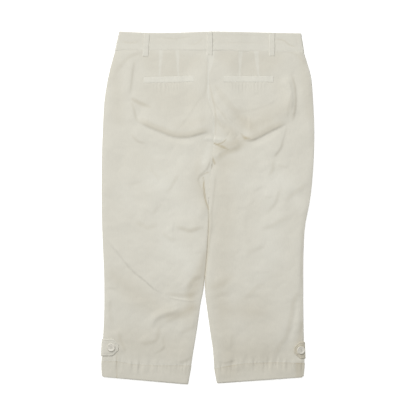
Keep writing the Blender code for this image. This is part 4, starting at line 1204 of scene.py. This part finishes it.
def band_under(x, y, v):
    """Underside of the waistband's back, and how deep in a crease each place is, as the weight of the shade
    painted there.
    """
    relief, depth = crease_relief(BAND_CREASES, x, y)
    relief = relief + rumple(x, y, 21, 46.0, 0.16) + rumple(x, y, 22, 17.0, 0.06)
    high = BACK_BAND_REST + OVERLAP_LIFT * rise_across(HOOK_RISE, x) + np.maximum(relief, -0.3)
    left, right = BAND_ROWS[0], BAND_ROWS[-1]
    from_left = x - left.bottom_x - (left.top_x - left.bottom_x) * v
    from_right = right.bottom_x + (right.top_x - right.bottom_x) * v - x
    ends = arc(np.minimum(from_left, from_right) / BAND_ROUND)
    foot = arc(v * BAND_HEIGHT / BAND_ROUND)
    top = arc((1.0 - v) * BAND_HEIGHT / BAND_TOP_ROUND)
    under = BAND_END + (high - BAND_END) * ends - FOOT_TURN * (1.0 - foot) - TOP_TURN * (1.0 - top)
    return np.maximum(under, BAND_LEAST), depth


def band_share(y):
    """How far up the waistband a height is, with its foot taken as level."""
    return (y - BAND_FOOT_Y) / 40.0


class CAPRI_OT_fronts(bpy.types.Operator):
    """Lay the left and right fronts on the floor, with a few creases of their own"""

    bl_idname = "capri.fronts"
    bl_label = "Fronts"

    def execute(self, context):
        sizes = context.scene.capri_sizes
        for side in SECTIONS:
            across, along = side_grid(side, sizes.front_grid / MM)
            name = "front_" + side

            def place(u, v, side=side):
                x, y = section_places(side, u, v, FRONT_INSET)
                height = crease_relief(FRONT_CREASES[side], x, y)[0]
                height = height + 0.25 * (1.0 + rumple(x, y, 31, 50.0, 0.5))
                clear = (1.0 - bag_under(side, x, y)) * (1.0 - fly_rise(x, y))
                outline = OUTLINES[side]
                edge = np.minimum(np.abs(x - outline.outer(y)), np.abs(x - outline.inner(y)))
                z = np.clip(height, 0.0, FRONT_LIFT) * clear * ease(edge / 10.0)
                z = z + 0.25 * np.exp(-((y - stitch_y(side, x)) / 1.3) ** 2)
                return x, y, z, {**join_paint(x), "thick": hem_thick(v, side)}

            lay_cloth(context, name, across, along, place, sizes.hem, thin=sizes.cloth)
        return {"FINISHED"}


class CAPRI_OT_backs(bpy.types.Operator):
    """Lay the left and right backs over the fronts, with their creases, seams and hems"""

    bl_idname = "capri.backs"
    bl_label = "Backs"

    def execute(self, context):
        sizes = context.scene.capri_sizes
        cloth, hem = sizes.cloth / MM, sizes.hem / MM
        for side in SECTIONS:
            across, along = side_grid(side, sizes.grid / MM)
            name = "back_" + side

            def place(u, v, side=side):
                x, y = section_places(side, u, v, cloth)
                z, depth = back_under(side, x, y, sizes.creases)
                thick = hem_thick(v, side)
                # below its stitching the turned-up hem is painted darker than the leg, and the stitching
                # gets a painted highlight above it and painted shade below it
                from_row = y - stitch_y(side, x)
                # the strips paint two layers of cloth whiter and paint broad light and shade
                layers = strip_amount(STRIPS[side], x, y) - 0.3 * ease(0.5 - from_row / 3.0)
                layers = layers + 0.45 * np.exp(-((from_row - 1.2) / 1.4) ** 2)
                layers = layers - 0.5 * np.exp(-((from_row + 1.4) / 1.2) ** 2)
                # painted shade in creases, down folds and between the legs
                painted_shade = 0.14 * depth - 0.04 + legs_meet(side, x, y)
                return x, y, z - (hem - cloth) * thick, {**join_paint(x, layers, painted_shade), "thick": thick}

            lay_cloth(context, name, across, along, place, sizes.hem, thin=sizes.cloth)
        return {"FINISHED"}


class CAPRI_OT_waistband(bpy.types.Operator):
    """Lay the waistband: its back in one piece and its front in two that lap at the hook"""

    bl_idname = "capri.waistband"
    bl_label = "Waistband"

    def execute(self, context):
        sizes = context.scene.capri_sizes
        last = len(BAND_ROWS) - 1.0
        along = spaced(BAND_HEIGHT, BAND_GRID_UP)

        def place_back(u, v):
            x, y = band_places(0.0, last, u, v)
            z, depth = band_under(x, y, v)
            layers = 0.15 + 0.2 * ease((TURNINGS_Y - y) / 3.0)
            # shade is painted into the waistband's creases
            return x, y, z, join_paint(x, layers, 0.4 * depth)

        lay_cloth(context, "waistband_back", spaced(BAND_WIDTH, BAND_GRID), along, place_back, sizes.band)
        fronts = (
            ("waistband_front_left", 0.0, UNDERLAP_END, UNDERLAP_LIFT),
            ("waistband_front_right", CENTRE_FRONT, last, 0.0),
        )
        for name, first, end, lift in fronts:
            def place(u, v, first=first, end=end, lift=lift):
                x, y = band_places(first, end, u, v)
                inset = FRONT_END * (ease((-190.0 - x) / 4.0) - ease((x - 190.0) / 4.0))
                z = BAND_REST + lift * ease((x - LAP_X) / LAP_SLOPE) + 0.1 * rumple(x, y, 41, 40.0, 1.0)
                return x + inset, y - FRONT_DROP * v, z, join_paint(x, 0.4)

            across = spaced((end - first) * BAND_ROW_GAP, FRONT_BAND_GRID)
            up = spaced(BAND_HEIGHT - FRONT_DROP, FRONT_BAND_GRID)
            lay_cloth(context, name, across, up, place, sizes.band)
        return {"FINISHED"}


def loop_base(loop, x, y, cloth, band):
    """What lies under a back belt loop: the seat below the waist seam and the waistband above it."""
    middle = 0.5 * (loop.bottom_x + loop.top_x) + 0.0 * x
    band_y = np.clip(y, *LOOP_ON_BAND_Y)
    on_band = band_under(middle, band_y, band_share(band_y))[0] + band
    side = "left" if loop.bottom_x < 0 else "right"
    beside_seam = SEAM_MISS if abs(loop.bottom_x) < 10 else 0.0
    on_seat = back_under(side, middle + beside_seam, np.minimum(y, LOOP_ON_SEAT_Y))[0] + cloth
    return on_seat + (on_band - on_seat) * ease((y - LOOP_STEP_Y) / LOOP_STEP)


class CAPRI_OT_belt_loops(bpy.types.Operator):
    """Lay three belt loops over the back of the waistband and two under its front"""

    bl_idname = "capri.belt_loops"
    bl_label = "Belt loops"

    def execute(self, context):
        sizes = context.scene.capri_sizes
        across = spaced(LOOP_WIDTH, LOOP_GRID)
        for loop in BACK_LOOPS + FRONT_LOOPS:
            long = loop.top_y - loop.bottom_y
            outside = loop in BACK_LOOPS

            def place(u, v, loop=loop, long=long, outside=outside):
                x = loop.bottom_x + (loop.top_x - loop.bottom_x) * v + (u - 0.5) * (LOOP_WIDTH - 0.6)
                y = loop.bottom_y + long * v
                round_side = arc(np.minimum(u, 1.0 - u) * LOOP_WIDTH / LOOP_ROUND)
                if not outside:
                    return x, y, 0.15 * (1.0 - round_side), join_paint(x, 0.7)
                base = loop_base(loop, x, y, sizes.cloth / MM, sizes.band / MM)
                # it arches between its turned ends, which stand up at their bar tacks, and dips
                # where the waist seam's turnings end and at the waistband's foot
                from_end = np.minimum(v, 1.0 - v) * long - LOOP_TURN
                arch = LOOP_ARCH * ease(from_end / 8.0) + LOOP_TACK * ease(1.0 - np.abs(from_end) / 2.0)
                dips = LOOP_DIP * sum(np.exp(-((y - dip_y) / 2.5) ** 2) for dip_y in LOOP_DIPS_Y)
                z = base + 0.05 + arch - dips - 0.7 * (1.0 - round_side)
                return x, y, z, join_paint(x, 0.4)

            lay_cloth(context, loop.name, across, spaced(long, LOOP_GRID), place, sizes.loop)
        return {"FINISHED"}


class CAPRI_OT_pockets(bpy.types.Operator):
    """Lay the welts on the seat and the pocket bags under it"""

    bl_idname = "capri.pockets"
    bl_label = "Welt pockets"

    def execute(self, context):
        sizes = context.scene.capri_sizes
        cloth = sizes.cloth / MM
        for side, welt in WELTS.items():
            left, right = sorted(((welt.outer_x, welt.outer_y), (welt.inner_x, welt.inner_y)))
            wide = right[0] - left[0]
            middle_x, middle_y = 0.5 * (left[0] + right[0]), 0.5 * (left[1] + right[1])

            def place_welt(u, v, side=side, left=left, right=right, wide=wide, middle_y=middle_y):
                x = left[0] + wide * u
                y = left[1] + (right[1] - left[1]) * u + (v - 0.5) * WELT_HEIGHT
                round_edge = arc(np.minimum(v, 1.0 - v) * WELT_HEIGHT / 1.2)
                round_edge = round_edge * arc(np.minimum(u, 1.0 - u) * wide / 1.0)
                ripple = rumple(x, 0.1 * y, 51, 8.5, 0.1)
                # it follows the level of its bed, not the bed's edges
                flat = WELT_HEIGHT / 2 - 2.2
                bed_x = np.clip(x, left[0] + 0.8, right[0] - 0.8)
                bed_y = middle_y + np.clip(y - middle_y, -flat, flat)
                z = back_top(side, bed_x, bed_y, cloth) + WELT_LIFT + ripple + 0.3 * (round_edge - 1.0)
                return x, y, z, join_paint(x, 0.6)

            lay_cloth(context, "welt_" + side, spaced(wide, WELT_GRID), spaced(WELT_HEIGHT, WELT_GRID_UP),
                      place_welt, sizes.cloth)

            def place_bag(u, v, middle_x=middle_x, middle_y=middle_y):
                deep = 1.0 - v
                half = 0.5 * (BAG_WIDTH - 1.0) * np.sqrt(1.0 - (BAG_FOOT_CURVE * deep) ** 4)
                x = middle_x + (2.0 * u - 1.0) * half
                y = middle_y + BAG_TOP - (BAG_TOP + BAG_DEPTH) * deep
                return x, y, BAG_Z + 0.12 * (1.0 + rumple(x, y, 61, 30.0, 0.5)), {}

            across, up = spaced(BAG_WIDTH, HIDDEN_GRID), spaced(BAG_TOP + BAG_DEPTH, HIDDEN_GRID)
            lay_cloth(context, "pocket_bag_" + side, across, up, place_bag, sizes.lining,
                      POCKETING)
        return {"FINISHED"}


def tab_length(side):
    """Length of a hem tab, with its turn round the leg's edge."""
    tab = TABS[side]
    return float(abs(OUTLINES[side].outer(tab.centre_y) - tab.tip_x)) + TAB_WRAP


def tab_place(side, u, v):
    """Places on a hem tab: u left to right and v up the leg.

    Also gives how far each is in from the leg's edge, and how far down round it, from 0 to 1.
    """
    tab = TABS[side]
    flat = tab_length(side) - TAB_WRAP
    along = (1.0 - u if side == "left" else u) * (flat + TAB_WRAP)
    point = (1.0 - np.clip(along / TAB_POINT, 0, 1)) ** TAB_POINT_CURVE
    half = 0.5 * TAB_WIDTH - 0.5 * (TAB_WIDTH - TAB_TIP_WIDTH) * point
    y = tab.centre_y + (2.0 * v - 1.0) * half
    inside = np.maximum(flat - along, 0.0)
    down = np.clip(along - flat, 0.0, None) / TAB_WRAP
    return OUTLINES[side].outer(y) + OUTWARD[side] * (0.5 + 0.3 * down - inside), y, inside, down


class CAPRI_OT_hem_tabs(bpy.types.Operator):
    """Lay a pointed tab round each leg's outer edge at the hem, with its edge stitched"""

    bl_idname = "capri.hem_tabs"
    bl_label = "Hem tabs"

    def execute(self, context):
        sizes = context.scene.capri_sizes
        cloth = sizes.cloth / MM
        for side in TABS:
            def place(u, v, side=side):
                x, y, inside, down = tab_place(side, u, v)
                edge_x = OUTLINES[side].outer(y) - OUTWARD[side] * (cloth + np.maximum(inside, 4.0))
                top = back_top(side, edge_x, y, cloth)
                from_side = np.minimum(v, 1.0 - v) * TAB_WIDTH
                edge = np.minimum(from_side, tab_length(side) - TAB_WRAP - inside)
                rolled = TAB_ROLL * (1.0 - arc(from_side / 1.3))
                seam = TAB_SEAM_SINK * np.exp(-((edge - TAB_SEAM) / 1.1) ** 2)
                top = top + TAB_LIFT - (rolled + seam) * (1.0 - down)
                # over the leg's edge it bends down to a third of its height, and then round to its low end
                over = arc((inside + 0.4) / (2.3 + edge_round(side, y))) * (1.0 - down)
                share = np.where(down > 0, 0.3 * (1.0 - down), 0.3 + 0.7 * over)
                z = TAB_END_Z + (top - TAB_END_Z) * share
                # the tab is painted lighter or darker from its row of the table, the right one with painted
                # shade
                return x, y, z, join_paint(x, TABS[side].layers, TABS[side].shade)

            across, up = spaced(tab_length(side), TAB_GRID), spaced(TAB_WIDTH, TAB_GRID)
            lay_cloth(context, "hem_tab_" + side, across, up, place, sizes.band)
        return {"FINISHED"}


def button_base(side, cloth, band):
    """Where a hem button lies on its tab: centre, level of its underside, and lean."""
    tab = TABS[side]
    turn = np.linspace(0, math.tau, 9)
    ring_x = tab.button_x + BUTTON_R * np.cos(turn) * 0.8
    ring_y = tab.centre_y + BUTTON_R * np.sin(turn) * 0.8
    level = float(back_top(side, ring_x, ring_y, cloth).max()) + TAB_LIFT + band
    return Vector((tab.button_x * MM, tab.centre_y * MM, level * MM)), math.radians(tab.button_tilt)


def turned_button():
    """Mesh of a button's round body, turned from its section."""
    bm = bmesh.new()
    spots = [bm.verts.new((r * MM, 0.0, z * MM)) for r, z in BUTTON_SECTION]
    for a, b in zip(spots, spots[1:]):
        bm.edges.new((a, b))
    bmesh.ops.spin(bm, geom=bm.verts[:] + bm.edges[:], axis=(0, 0, 1), cent=(0, 0, 0), angle=math.tau,
                   steps=48, use_merge=True)
    bmesh.ops.remove_doubles(bm, verts=bm.verts[:], dist=1e-6)
    bmesh.ops.recalc_face_normals(bm, faces=bm.faces[:])
    return mesh_of(bm, "turned")


def drilled(context, body):
    """Mesh of a button's body with its four thread holes drilled through."""
    blank = bpy.data.objects.new("blank", body)
    context.scene.collection.objects.link(blank)
    drills = []
    for k in range(4):
        angle = math.radians(45 + 90 * k)
        spot = (BUTTON_HOLE_OFF * MM * math.cos(angle), BUTTON_HOLE_OFF * MM * math.sin(angle), 0.0)
        bm = bmesh.new()
        bmesh.ops.create_cone(
            bm, cap_ends=True, segments=16, radius1=BUTTON_HOLE_R * MM, radius2=BUTTON_HOLE_R * MM,
            depth=DRILL_LENGTH * MM, matrix=Matrix.Translation(spot))
        drill = bpy.data.objects.new("drill", mesh_of(bm, "drill"))
        context.scene.collection.objects.link(drill)
        cut = blank.modifiers.new("hole", "BOOLEAN")
        cut.object = drill
        drills.append(drill)
    context.view_layer.update()
    mesh = bpy.data.meshes.new_from_object(blank.evaluated_get(context.evaluated_depsgraph_get()))
    for spare in drills + [blank]:
        bpy.data.objects.remove(spare)
    if len(mesh.vertices) < DRILLED_VERTICES:
        raise RuntimeError("the button's thread holes weren't cut")
    return mesh


def button_threads(lie):
    """Bmesh of the two pairs of threads that hold a button, over the dish between its holes."""
    bm = bmesh.new()
    for pair in (-1, 1):
        for ply in (-0.28, 0.28):
            spot = (0.0, (pair * THREAD_OFF + ply) * MM, (BUTTON_DISH_Z + 0.1) * MM)
            place = lie @ Matrix.Translation(spot) @ Matrix.Diagonal((1.9 * MM, 0.34 * MM, 0.4 * MM, 1.0))
            bmesh.ops.create_uvsphere(bm, u_segments=10, v_segments=8, radius=1.0,
                                      matrix=place @ Matrix.Rotation(math.pi / 2, 4, "Y"))
    return bm


class CAPRI_OT_buttons(bpy.types.Operator):
    """Turn a four-hole button for each hem tab and sew it on"""

    bl_idname = "capri.buttons"
    bl_label = "Hem buttons"

    def execute(self, context):
        sizes = context.scene.capri_sizes
        for side in TABS:
            centre, tilt = button_base(side, sizes.cloth / MM, sizes.band / MM)
            lie = Matrix.Translation(centre) @ Matrix.Rotation(tilt, 4, "Y")
            mesh = drilled(context, turned_button())
            mesh.transform(lie)
            add_piece(context, "hem_button_" + side, mesh, RESIN, "hem_button_" + side)
            mesh.set_sharp_from_angle(angle=math.radians(38))
            name = "button_thread_" + side
            add_piece(context, name, mesh_of(button_threads(lie), name), THREAD)
        return {"FINISHED"}


class CAPRI_OT_fly(bpy.types.Operator):
    """Lay the fly's shield and zip tape, and finish the zip and the waist hook"""

    bl_idname = "capri.fly"
    bl_label = "Fly"

    def execute(self, context):
        sizes = context.scene.capri_sizes

        def place_shield(u, v):
            x = FLY_X + (u - 0.5) * FLY_SHIELD_WIDTH
            y = FLY_TOP_Y - FLY_LENGTH * (1.0 - v)
            return x, y, FLY_SHIELD_Z + 0.0 * x, join_paint(x, 0.4)

        across, up = spaced(FLY_SHIELD_WIDTH, HIDDEN_GRID), spaced(FLY_LENGTH, SHIELD_GRID_UP)
        lay_cloth(context, "fly_shield", across, up, place_shield, 0.9 * sizes.cloth)

        low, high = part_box("zip_tape")
        bm = bmesh.new()
        bmesh.ops.create_cube(bm, size=1.0, matrix=Matrix.Translation((low + high) / 2)
                              @ Matrix.Diagonal((*(high - low), 1.0)))
        for k in range(int((high.y - low.y) / (TOOTH_PITCH * MM))):
            aside = TOOTH_ASIDE if k % 2 else -TOOTH_ASIDE
            spot = (FLY_X * MM + aside * MM, low.y + (k + 0.5) * TOOTH_PITCH * MM, low.z - TOOTH_DROP * MM)
            bmesh.ops.create_cube(bm, size=1.0, matrix=Matrix.Translation(spot)
                                  @ Matrix.Diagonal((*(MM * edge for edge in TOOTH_SIZE), 1.0)))
        mesh = mesh_of(bm, "zip_tape_and_teeth")
        add_piece(context, "zip_tape_and_teeth", mesh, TAPE, "zip_tape")
        mesh.shade_flat()
        for names, finish in ((("zip_slider", "zip_pull"), NICKEL), (("waist_hook", "waist_bar"), STEEL)):
            for name in names:
                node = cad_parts[name]
                node.data.materials.clear()
                node.data.materials.append(material(context, finish))
        return {"FINISHED"}


class CAPRI_OT_stitching(bpy.types.Operator):
    """Sew the rows of stitches that show on the back, on the fronts and on the trimmings"""

    bl_idname = "capri.stitching"
    bl_label = "Stitching"

    def execute(self, context):
        sizes = context.scene.capri_sizes
        cloth, band = sizes.cloth / MM, sizes.band / MM

        def on_back(side):
            return lambda x, y: back_top(side, x, y, cloth)

        def on_band(x, y):
            x, y = np.atleast_1d(x), np.atleast_1d(y)
            return band_under(x, y, np.clip(band_share(y), 0.03, 0.97))[0] + band

        for side in SECTIONS:
            ends = OUTLINES[side]
            hem = line(HEM_STITCHING[side], 60)
            hem = hem[np.abs(hem[:, 0]) < abs(float(ends.outer(HEM_ROW_Y))) - HEM_ROW_END]
            vent = line(VENT_STITCHING[side], 12)
            runs = [(hem, on_back(side), False), (vent, on_back(side), False)]
            if side == "left":
                centre_y = np.linspace(*CENTRE_STITCH_Y, 60)
                centre = np.column_stack((ends.inner(centre_y) - CENTRE_STITCH, centre_y))
                runs.append((centre, on_back(side), False))
            sewn_piece(context, "stitching_back_" + side, runs)

        for side, tab in TABS.items():
            sign = OUTWARD[side]
            near_edge = tab.tip_x + sign * (tab_length(side) - TAB_WRAP - 5.0)
            shoulder, tip = tab.tip_x + sign * (TAB_POINT - 0.5), tab.tip_x + sign * TAB_SEAM
            half, half_tip = 0.5 * TAB_WIDTH - TAB_SEAM, 0.5 * TAB_TIP_WIDTH - 1.0
            edge = line(((near_edge, half), (shoulder, half), (tip, half_tip),
                         (tip, -half_tip), (shoulder, -half), (near_edge, -half)), 60)
            edge = edge + (0.0, tab.centre_y)

            def on_tab(x, y, side=side):
                return back_top(side, x, y, cloth) + TAB_LIFT + band - 0.1
            runs = [(edge, on_tab, False)]
            if side == "left":
                for rise in (-1.2, 1.2):
                    hole = line(((near_edge - 1.0, rise), (tab.button_x - BUTTON_R - 0.5, rise)), 10)
                    runs.append((hole + (0.0, tab.centre_y), on_tab, False))
            sewn_piece(context, "stitching_tab_" + side, runs)

        def on_front(x, y):
            return 0.0 * np.atleast_1d(x) + 0.06

        front = [(line(HEM_STITCHING[side], 60), on_front, True) for side in SECTIONS]
        front.append((line(FLY_STITCHING, 40), on_front, True))
        sewn_piece(context, "stitching_front", front)

        rows = read_rows(BAND_ROWS, np.linspace(0.05, len(BAND_ROWS) - 1.05, 90))
        foot = np.column_stack((rows[2] + FOOT_STITCH * (rows[0] - rows[2]),
                                rows[3] + FOOT_STITCH * (rows[1] - rows[3])))
        sewn_piece(context, "stitching_waistband", [(foot, on_band, False)])
        return {"FINISHED"}


class CAPRI_OT_stage(bpy.types.Operator):
    """Set the floor, the soft light from the upper left and the camera straight above"""

    bl_idname = "capri.stage"
    bl_label = "Stage"

    def execute(self, context):
        scene = context.scene
        bm = bmesh.new()
        bmesh.ops.create_grid(bm, x_segments=4, y_segments=4, size=FLOOR_REACH,
                              matrix=Matrix.Translation((0, 0, FLOOR_Z * MM)))
        mesh = mesh_of(bm, "floor")
        floor = bpy.data.objects.new("floor", mesh)
        scene.collection.objects.link(floor)
        mesh.materials.append(material(context, OPAL))

        for lamp in LAMPS:
            light = bpy.data.lights.new(lamp.name, "AREA")
            light.shape = "DISK"
            light.size = lamp.width
            light.energy = lamp.watts
            placed = bpy.data.objects.new(lamp.name, light)
            placed.location = lamp.spot
            placed.rotation_mode = "QUATERNION"
            placed.rotation_quaternion = (-Vector(lamp.spot)).to_track_quat("-Z", "Y")
            scene.collection.objects.link(placed)
        world = bpy.data.worlds.new("studio")
        world.use_nodes = True
        sky = world.node_tree.nodes["Background"].inputs
        sky["Color"].default_value = (1.0, 1.0, 1.0, 1.0)
        sky["Strength"].default_value = SKY_STRENGTH
        scene.world = world

        camera = bpy.data.cameras.new("camera")
        camera.sensor_width = CAMERA_SENSOR
        camera.lens = CAMERA_LENS
        camera.clip_end = CAMERA_REACH
        placed = bpy.data.objects.new("camera", camera)
        placed.location = CAMERA_SPOT
        scene.collection.objects.link(placed)
        scene.camera = placed
        scene.view_settings.view_transform = "Standard"
        return {"FINISHED"}


class CAPRI_PT_panel(bpy.types.Panel):
    """Sizes, colours and the steps that make the pants"""

    bl_label = "Capri pants"
    bl_idname = "CAPRI_PT_panel"
    bl_space_type = "VIEW_3D"
    bl_region_type = "UI"
    bl_category = "Capri pants"

    def draw(self, context):
        for group in (context.scene.capri_sizes, context.scene.capri_colours):
            box = self.layout.box()
            for key in group.__annotations__:
                box.prop(group, key)
        for step in STEPS:
            self.layout.operator(step.bl_idname)


STEPS = (
    CAPRI_OT_stage, CAPRI_OT_fronts, CAPRI_OT_backs, CAPRI_OT_waistband, CAPRI_OT_belt_loops,
    CAPRI_OT_pockets, CAPRI_OT_hem_tabs, CAPRI_OT_buttons, CAPRI_OT_fly, CAPRI_OT_stitching,
)
CLASSES = (CapriSizes, CapriColours, *STEPS, CAPRI_PT_panel)


def register():
    for kind in CLASSES:
        bpy.utils.register_class(kind)
    bpy.types.Scene.capri_sizes = bpy.props.PointerProperty(type=CapriSizes)
    bpy.types.Scene.capri_colours = bpy.props.PointerProperty(type=CapriColours)


def unregister():
    del bpy.types.Scene.capri_colours
    del bpy.types.Scene.capri_sizes
    for kind in reversed(CLASSES):
        bpy.utils.unregister_class(kind)


def main():
    register()
    for step in STEPS:
        group, name = step.bl_idname.split(".")
        getattr(getattr(bpy.ops, group), name)()


if __name__ == "__main__":
    main()
